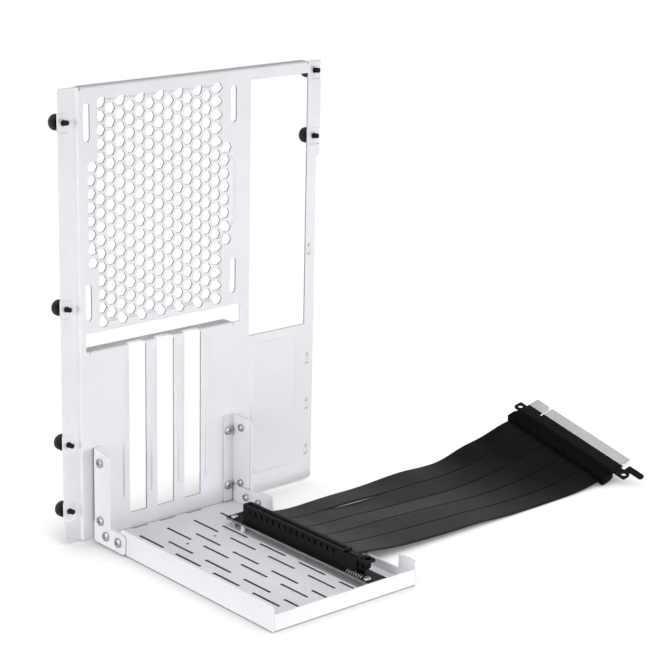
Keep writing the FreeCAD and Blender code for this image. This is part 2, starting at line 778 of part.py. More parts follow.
# Panel angles and side plates that tie the tray to the panel
plate_tools = {}
for label, way, edge in sides:
    inside = edge + " + %d * sheet_metal" % way
    corners = [
        (edge, "panel_front"),
        (edge + " + %d * angle_flange" % way, "panel_front"),
        (edge + " + %d * angle_flange" % way, "panel_front - sheet_metal"),
        (inside, "panel_front - sheet_metal"),
        (inside, "panel_front - angle_leg"),
        (edge, "panel_front - angle_leg"),
    ]
    angle = prism("angle_%s_fold" % label, "XY_Plane", "angle_lift", corners, "plate_top - angle_lift")
    edge_x = size("tray_left") if way > 0 else size("tray_left") + size("tray_width")
    dress(
        angle, "Fillet", "angle_%s_outer" % label, "fold_radius",
        lambda e: runs(e, "z") and near(e, x=edge_x, y=face_y),
    )
    tip_y = face_y - size("angle_leg")
    dress(
        angle, "Fillet", "angle_%s_corner" % label, "arm_corner",
        lambda e: runs(e, "x") and near(e, y=tip_y, z=size("plate_top")),
    )
    low_x = edge + (" - tool_margin" if way > 0 else " - sheet_metal - angle_gap")
    tools = [box(
        "angle_%s_relief" % label, low_x, "panel_front - angle_leg - tool_margin", "0",
        "sheet_metal + angle_gap + tool_margin", "angle_leg + 2 * tool_margin", "wall_step + angle_gap",
    )]
    for word in ("top", "bottom"):
        tools.append(rod(
            "angle_%s_hole_%s" % (label, word), "Y", edge + " + %d * angle_screw_inset" % way,
            "panel_front - sheet_metal - tool_margin", "angle_screw_" + word, "screw_hole",
            "sheet_metal + 2 * tool_margin",
        ))
    start = edge + (" - tool_margin" if way > 0 else " - sheet_metal - tool_margin")
    for word, y, z in screw_spots[:2]:
        tools.append(rod(
            "angle_%s_hole_%s" % (label, word), "X", start, y, z,
            "screw_hole", "sheet_metal + 2 * tool_margin",
        ))
    nodes.append(cut("panel_angle_" + label, angle, tools))

    outer = edge + (" - sheet_metal" if way > 0 else "")
    corners = [
        ("panel_front - plate_back", "plate_lift"),
        ("panel_front - plate_back", "plate_top"),
        ("panel_front - plate_arm", "plate_top"),
        ("panel_front - plate_arm", "foot_top"),
        ("panel_front - plate_foot", "foot_top"),
        ("panel_front - plate_foot", "plate_lift"),
    ]
    plate = prism("plate_%s_flat" % label, "YZ_Plane", outer, corners, "sheet_metal")
    arm_y = face_y - size("plate_arm")
    foot_y = face_y - size("plate_foot")
    dress(
        plate, "Fillet", "plate_%s_arm_corner" % label, "arm_corner",
        lambda e: runs(e, "x") and near(e, y=arm_y, z=size("plate_top")),
    )
    dress(
        plate, "Fillet", "plate_%s_foot_corners" % label, "foot_corner",
        lambda e: runs(e, "x") and near(e, y=foot_y),
    )
    tools = []
    for word, y, z in screw_spots:
        tools.append(rod(
            "plate_%s_hole_%s" % (label, word), "X", outer + " - tool_margin", y, z, "screw_hole",
            "sheet_metal + 2 * tool_margin",
        ))
    nodes.append(cut("side_plate_" + label, plate, tools))

# Screws that hold the angles to the panel
angle_screws = []
for label, way, edge in sides:
    for word in ("top", "bottom"):
        name = "angle_screw_%s_%s" % (label, word)
        x = edge + " + %d * angle_screw_inset" % way
        z = "angle_screw_" + word
        face = "panel_front - sheet_metal"
        head = rod(
            name + "_head", "Y", x, face + " - screw_head_height", z, "screw_head", "screw_head_height",
        )
        shank = rod(
            name + "_shank", "Y", x, face + " - screw_head_height / 2", z, "screw_shank",
            "screw_head_height / 2 + 2 * sheet_metal + screw_reach",
        )
        angle_screws.append(fuse(name, [head, shank]))
nodes.append(group("panel_screws", angle_screws))

# Screws and clinch nuts that hold the side plates
plate_screws = []
plate_nuts = []
for label, way, edge in sides:
    for word, y, z in screw_spots:
        name = "plate_screw_%s_%s" % (label, word)
        if way > 0:
            head_x = edge + " - sheet_metal - screw_head_height"
            shank_x = edge + " - sheet_metal - screw_head_height / 2"
            nut_x = edge + " + sheet_metal"
        else:
            head_x = edge + " + sheet_metal"
            shank_x = edge + " - sheet_metal - screw_reach"
            nut_x = edge + " - sheet_metal - nut_height"
        head = rod(name + "_head", "X", head_x, y, z, "screw_head", "screw_head_height")
        shank = rod(
            name + "_shank", "X", shank_x, y, z, "screw_shank",
            "screw_head_height / 2 + 2 * sheet_metal + screw_reach",
        )
        plate_screws.append(fuse(name, [head, shank]))
        ring = rod(name + "_ring", "X", nut_x, y, z, "nut_radius", "nut_height")
        bore = rod(
            name + "_bore", "X", nut_x + " - tool_margin", y, z, "screw_hole", "nut_height + 2 * tool_margin",
        )
        plate_nuts.append(cut(name + "_nut", ring, [bore]))
nodes.append(group("plate_screws", plate_screws))
nodes.append(group("plate_nuts", plate_nuts))

# Riser board on posts
board_front = "panel_front - housing_back - housing_length - board_nose"
board_length = "housing_back + housing_length + board_nose - board_back"
board_low = "sheet_metal + post_height"
board_top = "sheet_metal + post_height + board_thick"
board_ends = (
    ("back", "panel_front - board_back - board_inset"),
    ("front", board_front + " + board_inset"),
)
screw_x = "board_left + board_screw_in"
board_flat = box(
    "board_flat", "board_left", board_front, board_low, "board_width", board_length, "board_thick",
)
board_tools = []
posts = []
board_screws = []
rests = []
for word, y in board_ends:
    board_tools.append(rod(
        "board_hole_" + word, "Z", screw_x, y, board_low + " - tool_margin", "board_hole",
        "board_thick + 2 * tool_margin",
    ))
    post = rod("post_%s_body" % word, "Z", screw_x, y, "sheet_metal", "post_radius", "post_height")
    bore = rod(
        "post_%s_bore" % word, "Z", screw_x, y, "sheet_metal + tool_margin / 2", "post_bore",
        "post_height + tool_margin",
    )
    posts.append(cut("post_" + word, post, [bore]))
    head = rod(
        "board_screw_%s_head" % word, "Z", screw_x, y, board_top, "board_screw_head", "board_screw_height",
    )
    shank = rod(
        "board_screw_%s_shank" % word, "Z", screw_x, y, "sheet_metal + tool_margin", "board_screw_shank",
        "post_height - tool_margin + board_thick + board_screw_height / 2",
    )
    board_screws.append(fuse("board_screw_" + word, [head, shank]))
for word, x, y in (
    ("back", "board_left + rest_inset", "panel_front - board_back - rest_back"),
    ("front", "board_left + board_width - rest_inset", board_front + " + rest_back"),
):
    rests.append(rod("board_rest_" + word, "Z", x, y, "sheet_metal", "rest_radius", "post_height"))
nodes.append(cut("riser_board", board_flat, board_tools))
nodes.append(group("board_posts", posts))
nodes.append(group("board_rests", rests))
nodes.append(group("board_screws", board_screws))

# Card slot housing with chambers, key wall, side notches and latch cheeks
housing_rear = "panel_front - housing_back"
housing_fore = housing_rear + " - housing_length"
housing_left = "slot_centre - housing_width / 2"
housing_block = prism(
    "housing_block", "XY_Plane", board_top,
    [
        (housing_left, housing_fore),
        (housing_left + " + housing_width", housing_fore),
        (housing_left + " + housing_width", housing_rear),
        (housing_left, housing_rear),
    ],
    "housing_height",
)
rear_y = face_y - size("housing_back")
dress(
    housing_block, "Chamfer", "housing_rear_bevel", "housing_bevel",
    lambda e: runs(e, "z") and near(e, y=rear_y),
)
housing_parts = [housing_block]
housing_tools = []
pivot_y = housing_fore + " - pivot_front"
pivot_z = board_top + " + pivot_up"
for label, x in (("left", housing_left), ("right", housing_left + " + housing_width - cheek")):
    housing_parts.append(box(
        "housing_cheek_" + label, x, housing_fore + " - cheek_length", board_top,
        "cheek", "cheek_length + tool_margin", "cheek_height",
    ))
housing_tools.append(rod(
    "housing_pivot_bore", "X", housing_left + " - tool_margin", pivot_y, pivot_z,
    "pivot_radius + pivot_clearance", "housing_width + 2 * tool_margin",
))
spans = (
    ("rear", housing_rear + " - key_back", "key_back - housing_end"),
    ("fore", housing_fore + " + housing_end", "housing_length - housing_end - key_back - key_width"),
)
for word, y, length in spans:
    housing_tools.append(box(
        "housing_mouth_" + word, "slot_centre - mouth_width / 2", y, board_top + " + housing_floor",
        "mouth_width", length, "housing_height",
    ))
    housing_tools.append(box(
        "housing_chamber_" + word, "slot_centre - chamber_width / 2", y, board_top + " + housing_floor",
        "chamber_width", length, "housing_height - housing_floor - mouth_height",
    ))
for i in range(15):
    for label, x in (
        ("left", housing_left + " - tool_margin"),
        ("right", housing_left + " + housing_width - notch_depth"),
    ):
        housing_tools.append(box(
            "housing_notch_%s_%d" % (label, i + 1), x,
            housing_rear + " - notch_start - notch_length - %d * notch_pitch" % i,
            board_top + " + housing_height - notch_drop - notch_height",
            "notch_depth + tool_margin", "notch_length", "notch_height",
        ))
housing_whole = fuse("housing_whole", housing_parts)
slot_housing = cut("slot_housing", housing_whole, housing_tools)
nodes.append(slot_housing)

# Contact blades along both walls of the slot
blades = []
lift_z = metal + size("post_height") + size("board_thick") + size("housing_floor")
mid_x = size("slot_centre")
thick = size("contact_thick")
fore_y = rear_y - size("housing_length")
key_high = rear_y - size("key_back")
key_low = key_high - size("key_width")
stretches = (
    (key_high + size("contact_pitch") / 2, rear_y - size("housing_end")),
    (fore_y + size("housing_end") + size("contact_pitch") / 2, key_low),
)
for low_y, high_y in stretches:
    count = int((high_y - low_y) / size("contact_pitch"))
    for i in range(count):
        for way in (-1, 1):
            wall_x = mid_x + way * size("chamber_width") / 2
            corner = FreeCAD.Vector(
                wall_x - thick if way > 0 else wall_x,
                low_y + i * size("contact_pitch"),
                lift_z,
            )
            blades.append(Part.makeBox(thick, size("contact_wide"), size("contact_tall"), corner))
slot_contacts = doc.addObject("Part::Feature", "slot_contacts")
slot_contacts.Shape = Part.makeCompound(blades)
nodes.append(slot_contacts)

# Slot latch on two trunnions
latch_left = housing_left + " + cheek + cheek_gap"
latch_width = "housing_width - 2 * cheek - 2 * cheek_gap"
latch_corners = [
    (pivot_y + " + latch_back", pivot_z + " + latch_top"),
    (pivot_y + " - latch_reach", pivot_z + " + latch_top"),
    (pivot_y + " - latch_reach - 0.5", pivot_z + " + 0.74 * latch_top"),
    (pivot_y + " - 0.86 * latch_reach", pivot_z + " + 0.64 * latch_top"),
    (pivot_y + " - 0.88 * latch_reach", pivot_z + " + 0.24 * latch_top"),
    (pivot_y + " - 0.76 * latch_reach", pivot_z + " - 0.23 * latch_drop"),
    (pivot_y + " - 0.48 * latch_reach", pivot_z + " - 0.64 * latch_drop"),
    (pivot_y + " - 0.17 * latch_reach", pivot_z + " - 0.9 * latch_drop"),
    (pivot_y + " + 0.52 * latch_back", pivot_z + " - latch_drop"),
    (pivot_y + " + 0.8 * latch_back", pivot_z + " + 0.15 * latch_top"),
]
latch_blade = prism("latch_blade", "YZ_Plane", latch_left, latch_corners, latch_width)
latch_pin = rod(
    "latch_pin", "X", latch_left + " - cheek_gap - cheek", pivot_y, pivot_z, "pivot_radius",
    latch_width + " + 2 * cheek_gap + 2 * cheek",
)
latch_head = prism(
    "latch_thumb", "YZ_Plane", housing_left,
    [
        (pivot_y + " - latch_reach + latch_head", pivot_z + " + latch_top"),
        (pivot_y + " - latch_reach", pivot_z + " + latch_top"),
        (pivot_y + " - latch_reach - 0.5", pivot_z + " + 0.74 * latch_top"),
        (pivot_y + " - latch_reach + 0.25 * latch_head", pivot_z + " + latch_top - latch_head_height"),
        (pivot_y + " - latch_reach + latch_head", pivot_z + " + latch_top - latch_head_height"),
    ],
    "housing_width",
)
latch_eye = rod(
    "latch_eye_bore", "X", latch_left + " - tool_margin", pivot_y + " - 0.69 * latch_reach",
    pivot_z + " + 0.24 * latch_top", "latch_eye", latch_width + " + 2 * tool_margin",
)
nodes.append(cut("slot_latch", fuse("latch_solid", [latch_blade, latch_head, latch_pin]), [latch_eye]))

# Row of soldered pins beside the latch
pins = []
for i in range(7):
    pins.append(box(
        "solder_pin_%d" % (i + 1), "board_left + solder_inset",
        housing_fore + " - solder_gap - solder_wide - %d * pin_count_pitch" % i, board_top,
        "solder_long", "solder_wide", "solder_tall",
    ))
nodes.append(group("solder_pins", pins))

# Strain relief boot along the right edge of the board
boot = prism(
    "ribbon_boot", "XY_Plane", board_top,
    [
        ("boot_left", "boot_near"),
        ("boot_right", "boot_near"),
        ("boot_right", "boot_near + boot_length"),
        ("boot_left", "boot_near + boot_length"),
    ],
    "boot_height",
)
boot_top = metal + size("post_height") + size("board_thick") + size("boot_height")
dress(
    boot, "Chamfer", "boot_bevel", "fold_radius",
    lambda e: runs(e, "y") and near(e, z=boot_top),
)
nodes.append(boot)

# Plug pieces share one placement: x towards the fingers, y along the plug
plug_turn = FreeCAD.Rotation(size("plug_yaw"), size("plug_pitch"), size("plug_roll"))
plug_spot = FreeCAD.Vector(size("plug_along"), size("plug_across"), size("plug_up"))
plug_place = FreeCAD.Placement(plug_spot, plug_turn)

# Five flat ribbons, each a strip along runs joined by tangent arcs
# Six seams bound them: shares of the level run, and a seam's height over the line between its ends
SHARES = (
    0, 0.0649, 0.1205, 0.1762, 0.2596, 0.3338, 0.408, 0.4822, 0.5471, 0.612, 0.6954, 0.7881,
    0.8623, 0.9179, 0.9643, 1,
)
SEAMS = (
    (
        0, -0.0047, -0.0115, -0.017, -0.0189, -0.0201, -0.0194, -0.0179, -0.0207, -0.0231, -0.022,
        -0.0195, -0.0172, -0.0129, -0.0065, 0,
    ),
    (
        0, -0.0068, -0.011, -0.0142, -0.0181, -0.0207, -0.0228, -0.0244, -0.0266, -0.0307, -0.0318,
        -0.0314, -0.0275, -0.0214, -0.0127, 0,
    ),
    (
        0, -0.009, -0.0123, -0.0142, -0.0164, -0.0198, -0.0242, -0.0291, -0.0344, -0.0382, -0.039,
        -0.0362, -0.0285, -0.0198, -0.01, 0,
    ),
    (
        0, -0.0111, -0.0145, -0.017, -0.023, -0.0297, -0.0345, -0.0394, -0.0435, -0.0462, -0.0444,
        -0.0368, -0.0268, -0.0172, -0.0083, 0,
    ),
    (
        0, -0.0123, -0.0158, -0.0188, -0.0259, -0.0303, -0.0323, -0.0367, -0.0406, -0.045, -0.046,
        -0.0364, -0.0241, -0.0146, -0.0065, 0,
    ),
    (
        0, -0.0135, -0.0189, -0.0207, -0.0247, -0.0308, -0.0328, -0.0325, -0.0353, -0.0442, -0.0496,
        -0.0277, -0.0228, -0.012, -0.002, 0,
    ),
)


def eased(points):
    kept = [points[0]]
    for i in range(1, len(points) - 1):
        if (points[i] - kept[-1]).getAngle(points[i + 1] - points[i]) > 0.004:
            kept.append(points[i])
    return kept + [points[-1]]


def offset_side(points, shift):
    edges = []
    start = None
    radii = []
    normals = []
    for a, b in zip(points, points[1:]):
        run = b - a
        normals.append(FreeCAD.Vector(-run.y, run.x, 0) / run.Length)
    start = points[0] + normals[0] * shift
    for i in range(1, len(points) - 1):
        before = points[i] - points[i - 1]
        after = points[i + 1] - points[i]
        turn = before.getAngle(after)
        trim = 0.45 * min(before.Length, after.Length)
        radius = trim / math.tan(turn / 2)
        radii.append(radius)
        left_turn = before.cross(after).z > 0
        enter = points[i] - before / before.Length * trim
        leave = points[i] + after / after.Length * trim
        centre = enter + normals[i - 1] * (radius if left_turn else -radius)
        reach = radius - shift if left_turn else radius + shift
        toward = points[i] - centre
        first = enter + normals[i - 1] * shift
        last = leave + normals[i] * shift
        edges.append(Part.LineSegment(start, first).toShape())
        edges.append(Part.Arc(first, centre + toward / toward.Length * reach, last).toShape())
        start = last
    finish = points[-1] + normals[-1] * shift
    edges.append(Part.LineSegment(start, finish).toShape())
    return edges, radii, finish


ribbon_half = size("ribbon_thick") / 2
ribbon_width = size("ribbon_width")
ribbon_lift = metal + size("post_height") + size("board_thick") + size("ribbon_rise")
for number, (near_seam, far_seam) in enumerate(zip(SEAMS, SEAMS[1:])):
    shift = number * size("ribbon_pitch")
    exit_spot = FreeCAD.Vector(size("boot_right"), size("ribbon_near") + shift, ribbon_lift)
    far_spot = plug_place.multVec(FreeCAD.Vector(-size("shroud_back"), size("ribbon_plug") + shift, 0))
    span = far_spot - exit_spot
    run = math.hypot(span.x, span.y)
    points = []
    for share, near_sag, far_sag in zip(SHARES, near_seam, far_seam):
        rise = share * span.z + (near_sag + far_sag) / 2 * run
        points.append(FreeCAD.Vector(share * run, ribbon_lift + rise, -ribbon_width / 2))
    print("route", [(round(p.x, 2), round(p.y, 2)) for p in points], "far y", round(far_spot.y, 2))
    sink = size("ribbon_sink")
    first_run = points[1] - points[0]
    last_run = points[-1] - points[-2]
    points[0] = points[0] - first_run / first_run.Length * sink
    points[-1] = points[-1] + last_run / last_run.Length * sink
    points = eased(points)
    upper, radii, upper_end = offset_side(points, ribbon_half)
    lower, radii, lower_end = offset_side(points, -ribbon_half)
    lower_start = lower[0].Vertexes[0].Point
    upper_start = upper[0].Vertexes[0].Point
    ends = [
        Part.LineSegment(upper_end, lower_end).toShape(),
        Part.LineSegment(lower_start, upper_start).toShape(),
    ]
    ring = Part.Wire(Part.__sortEdges__(upper + lower + ends))
    strip = Part.Face(ring).extrude(FreeCAD.Vector(0, 0, ribbon_width))
    length = Part.Wire(Part.__sortEdges__(offset_side(points, 0)[0])).Length
    expected = length * ribbon_width * size("ribbon_thick")
    print("ribbon", number + 1, "length", round(length, 2), "volume ratio", round(strip.Volume / expected, 4))
    print("radii", [round(radius, 1) for radius in radii])
    ribbon = doc.addObject("Part::Feature", "ribbon_%d" % (number + 1))
    ribbon.Shape = strip
    yaw = math.degrees(math.atan2(span.y, span.x))
    stand = FreeCAD.Rotation(FreeCAD.Vector(1, 0, 0), 90)
    swing = FreeCAD.Rotation(FreeCAD.Vector(0, 0, 1), yaw)
    foot = FreeCAD.Vector(exit_spot.x, exit_spot.y, 0)
    ribbon.Placement = FreeCAD.Placement(foot, swing.multiply(stand))
    nodes.append(ribbon)

# Plug shroud, board and fingers
half_board = "plug_thick / 2"
for word, low in (("upper", half_board), ("lower", "-shroud_half")):
    body = prism(
        "plug_shroud_" + word, "XY_Plane", low,
        [
            ("-shroud_back", "shroud_near"),
            ("-shroud_back + shroud_depth", "shroud_near"),
            ("-shroud_back + shroud_depth", "shroud_near + shroud_length"),
            ("-shroud_back", "shroud_near + shroud_length"),
        ],
        "shroud_half - plug_thick / 2",
    )
    outer_z = size("shroud_half") * (1 if word == "upper" else -1)
    dress(
        body, "Chamfer", "plug_shroud_%s_bevel" % word, "shroud_bevel",
        lambda e: near(e, z=outer_z),
    )
    body.Placement = plug_place
    nodes.append(body)
board_parts = [
    box(
        "plug_main", "-plug_root", "0", "-" + half_board, "plug_root", "plug_span", "plug_thick",
    ),
    box(
        "plug_tongue_long", "-tool_margin", "0", "-" + half_board, "plug_tongue + tool_margin", "plug_key",
        "plug_thick",
    ),
    box(
        "plug_tongue_short", "-tool_margin", "plug_key + plug_key_width", "-" + half_board,
        "plug_tongue + tool_margin", "plug_span - plug_key - plug_key_width", "plug_thick",
    ),
    box(
        "plug_near_web", "-ear_back - ear_radius", "ear_near", "-" + half_board, "2 * ear_radius",
        "tool_margin - ear_near", "plug_thick",
    ),
    rod("plug_near_ear", "Z", "-ear_back", "ear_near", "-" + half_board, "ear_radius", "plug_thick"),
    box(
        "plug_far_web", "-ear_back - ear_radius", "plug_span - tool_margin", "-" + half_board,
        "2 * ear_radius",
        "ear_far - plug_span + tool_margin", "plug_thick",
    ),
    rod("plug_far_ear", "Z", "-ear_back", "ear_far", "-" + half_board, "ear_radius", "plug_thick"),
    box(
        "plug_barb_root", "-ear_back", "barb_near - ear_root", "-" + half_board, "ear_back + barb_front",
        "ear_root", "plug_thick",
    ),
    box(
        "plug_barb", "barb_front - barb_width", "barb_near - barb_length", "-" + half_board, "barb_width",
        "barb_length", "plug_thick",
    ),
]
board_cuts = [
    box(
        "plug_key_slot", "-plug_key_depth", "plug_key", "-plug_thick", "plug_key_depth + tool_margin",
        "plug_key_width", "2 * plug_thick",
    ),
    rod("plug_near_hole", "Z", "-ear_back", "ear_near", "-plug_thick", "ear_hole", "2 * plug_thick"),
    rod("plug_far_hole", "Z", "-ear_back", "ear_far", "-plug_thick", "ear_hole", "2 * plug_thick"),
]
plug_board = cut("plug_board", fuse("plug_outline", board_parts), board_cuts)
nodes.append(plug_board)

fingers = []
leaf = size("finger_thick")
rim = size("plug_tongue") - size("finger_long")
stretches = (
    (0.0, size("plug_key")),
    (size("plug_key") + size("plug_key_width"), size("plug_span")),
)
for low_y, high_y in stretches:
    count = int((high_y - low_y) / size("finger_pitch"))
    spare = (high_y - low_y - count * size("finger_pitch")) / 2
    for i in range(count):
        middle = low_y + spare + (i + 0.5) * size("finger_pitch")
        for way in (-1, 1):
            low_z = size("plug_thick") / 2 if way > 0 else -size("plug_thick") / 2 - leaf
            corner = FreeCAD.Vector(rim / 2, middle - size("finger_wide") / 2, low_z)
            fingers.append(Part.makeBox(size("finger_long"), size("finger_wide"), leaf, corner))
plug_contacts = doc.addObject("Part::Feature", "plug_contacts")
plug_contacts.Shape = Part.makeCompound(fingers)
plug_contacts.Placement = plug_place
nodes.append(plug_contacts)
doc.recompute()
plug_board.Placement = plug_place
doc.recompute()

# Every object is sound before anything is written
faults = []
for thing in doc.Objects:
    if "Invalid" in thing.State or "Error" in thing.State:
        faults.append("%s state %s" % (thing.Name, thing.State))
for node in nodes:
    node.Label = node.Name
    if node.Shape.isNull() or not node.Shape.isValid():
        faults.append("%s shape" % node.Name)
    elif not node.Shape.Solids:
        faults.append("%s has no solid" % node.Name)
if faults:
    raise RuntimeError("; ".join(faults))

os.makedirs("parts", exist_ok=True)
for node in nodes:
    node.Shape.exportStep("parts/%s.step" % node.Label)
    span = node.Shape.BoundBox
    print(
        node.Label, len(node.Shape.Solids), round(node.Shape.Volume, 1),
        [round(v, 2) for v in (span.XMin, span.YMin, span.ZMin, span.XMax, span.YMax, span.ZMax)],
    )
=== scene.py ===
import json
import math
from collections import namedtuple

import bmesh
import bpy
from mathutils import Euler, Matrix, Vector
from mathutils.geometry import delaunay_2d_cdt


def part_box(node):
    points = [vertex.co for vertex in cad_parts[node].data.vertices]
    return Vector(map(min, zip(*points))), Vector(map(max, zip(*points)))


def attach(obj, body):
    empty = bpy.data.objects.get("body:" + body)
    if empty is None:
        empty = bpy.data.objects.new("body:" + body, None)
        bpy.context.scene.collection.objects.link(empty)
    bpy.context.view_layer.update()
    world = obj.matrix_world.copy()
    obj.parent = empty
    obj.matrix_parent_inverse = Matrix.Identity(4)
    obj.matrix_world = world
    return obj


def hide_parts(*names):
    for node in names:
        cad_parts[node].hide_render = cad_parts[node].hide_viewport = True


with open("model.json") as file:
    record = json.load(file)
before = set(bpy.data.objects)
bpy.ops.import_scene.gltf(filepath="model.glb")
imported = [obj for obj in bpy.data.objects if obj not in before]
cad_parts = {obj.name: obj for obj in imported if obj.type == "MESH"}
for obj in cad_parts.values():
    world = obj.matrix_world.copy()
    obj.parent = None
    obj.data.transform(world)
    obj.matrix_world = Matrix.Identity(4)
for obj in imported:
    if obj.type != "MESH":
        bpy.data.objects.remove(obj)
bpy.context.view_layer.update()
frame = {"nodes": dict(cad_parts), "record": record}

# The object's sizes are in millimetres; camera, lamps and materials are in metres
MM = 0.001
TINY = 0.001
FRAME_BODY = "mount_frame"
LATCH_BODY = "latch"
METAL = 1.2
Box = namedtuple("Box", "left front low right back high")


def node_box(node):
    return Box(*(round(value / MM, 3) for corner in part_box(node) for value in corner))


def node_height(node):
    box = node_box(node)
    return round((box.low + box.high) / 2, 3)


# Camera at the photograph's angle
LENS, SENSOR_WIDTH = 113.085, 36.0
CLIP_NEAR, CLIP_FAR = 0.01, 20.0
CAMERA_SPOT = (-0.73730, -0.89601, 0.47684)
CAMERA_DEGREES = (73.4638, -1.1768, -40.7349)


def add_camera():
    data = bpy.data.cameras.new("photo_camera")
    data.lens = LENS
    data.sensor_width = SENSOR_WIDTH
    data.sensor_fit = "HORIZONTAL"
    data.clip_start = CLIP_NEAR
    data.clip_end = CLIP_FAR
    camera = bpy.data.objects.new("photo_camera", data)
    camera.location = CAMERA_SPOT
    camera.rotation_euler = tuple(math.radians(angle) for angle in CAMERA_DEGREES)
    bpy.context.scene.collection.objects.link(camera)
    bpy.context.scene.camera = camera


# A node tree whose nodes take their values and links as they are added
class Nodes:
    def __init__(self, tree):
        self.tree = tree

    def add(self, kind, inputs=None, **settings):
        node = self.tree.nodes.new("ShaderNode" + kind)
        for key, value in settings.items():
            setattr(node, key, value)
        self.feed(node, inputs or {})
        return node

    def feed(self, node, inputs):
        for key, value in inputs.items():
            if isinstance(value, bpy.types.NodeSocket):
                self.tree.links.new(value, node.inputs[key])
            else:
                node.inputs[key].default_value = value

    def remap(self, value, source, target):
        ends = dict(zip(("From Min", "From Max", "To Min", "To Max"), (*source, *target)))
        node = self.add("MapRange", {"Value": value, **ends})
        return node.outputs["Result"]

    def ramp(self, fac, stops):
        node = self.add("ValToRGB", {"Fac": fac})
        elements = node.color_ramp.elements
        while len(elements) < len(stops):
            elements.new(0.5)
        for element, (position, tone) in zip(elements, stops):
            element.position = position
            element.color = (*tone, 1)
        return node.outputs["Color"]

    def mix(self, output, fac, first, second):
        node = self.add("MixShader", {"Fac": fac, 1: first, 2: second})
        self.feed(self.tree.nodes[output], {"Surface": node.outputs["Shader"]})

    # Camera, mirror and see-through rays meet the plain background; light does not
    def seen_rays(self):
        path = self.add("LightPath").outputs
        seen = path["Is Camera Ray"]
        for kind in ("Is Glossy Ray", "Is Transmission Ray"):
            seen = self.add("Math", {0: seen, 1: path[kind]}, operation="MAXIMUM").outputs[0]
        return seen


# Procedural materials of the object
TINT_START, TINT_STOP = 0.35, 0.65
CORNER_SHADE = (0.1, 0.62)
GRAIN_STRENGTH, GRAIN_DEPTH = 0.12, 0.00012
EDGE_GRAIN, EDGE_DEPTH = 1800, 0.0001


class Look(Nodes):
    def __init__(self, name, dark, light, rough, metallic=0, specular=0.5):
        middle = (*((a + b) / 2 for a, b in zip(dark, light)), 1.0)
        self.material = bpy.data.materials.new(name)
        self.material.use_nodes = True
        self.material.diffuse_color = middle
        super().__init__(self.material.node_tree)
        self.tones = ((TINT_START, dark), (TINT_STOP, light))
        self.rough = rough
        self.specular = specular
        self.main = self.tree.nodes["Principled BSDF"]
        self.set_main("Base Color", middle)
        self.set_main("Roughness", sum(rough) / 2)
        self.set_main("Metallic", metallic)
        self.set_main("Specular IOR Level", specular)
        self.place = self.add("TexCoord").outputs["Object"]

    def set_main(self, key, value):
        self.feed(self.main, {key: value})

    def noise(self, scale, detail, stretch=None):
        spot = self.place
        if stretch:
            spot = self.add("Mapping", {"Vector": spot, "Scale": stretch}).outputs["Vector"]
        return self.add("TexNoise", {"Vector": spot, "Scale": scale, "Detail": detail}).outputs["Fac"]

    def tint(self, fac):
        self.set_main("Base Color", self.ramp(fac, self.tones))

    def roughen(self, fac):
        self.set_main("Roughness", self.remap(fac, (0, 1), self.rough))

    def bump(self, fac, strength, depth, edge=0):
        node = self.add("Bump", {"Height": fac, "Strength": strength, "Distance": depth})
        if edge:
            bevel = self.add("Bevel", {"Radius": edge}, samples=6)
            self.feed(node, {"Normal": bevel.outputs["Normal"]})
        self.set_main("Normal", node.outputs["Normal"])

    # Painted shade: ambient occlusion darkens the base colour in corners, creases and gaps
    def shade_corners(self, reach, dark):
        found = self.add("AmbientOcclusion", {"Distance": reach}, samples=8)
        level = self.remap(found.outputs["AO"], CORNER_SHADE, (dark, 1))
        plain = self.main.inputs["Base Color"].links[0].from_socket
        scaled = self.add("VectorMath", operation="SCALE")
        self.feed(scaled, {0: plain, "Scale": level})
        self.set_main("Base Color", scaled.outputs["Vector"])

    def fade_along(self, start, stop, share):
        parts = self.add("SeparateXYZ", {"Vector": self.place})
        level = self.remap(parts.outputs["X"], (start, stop), (self.specular, self.specular * share))
        self.set_main("Specular IOR Level", level)


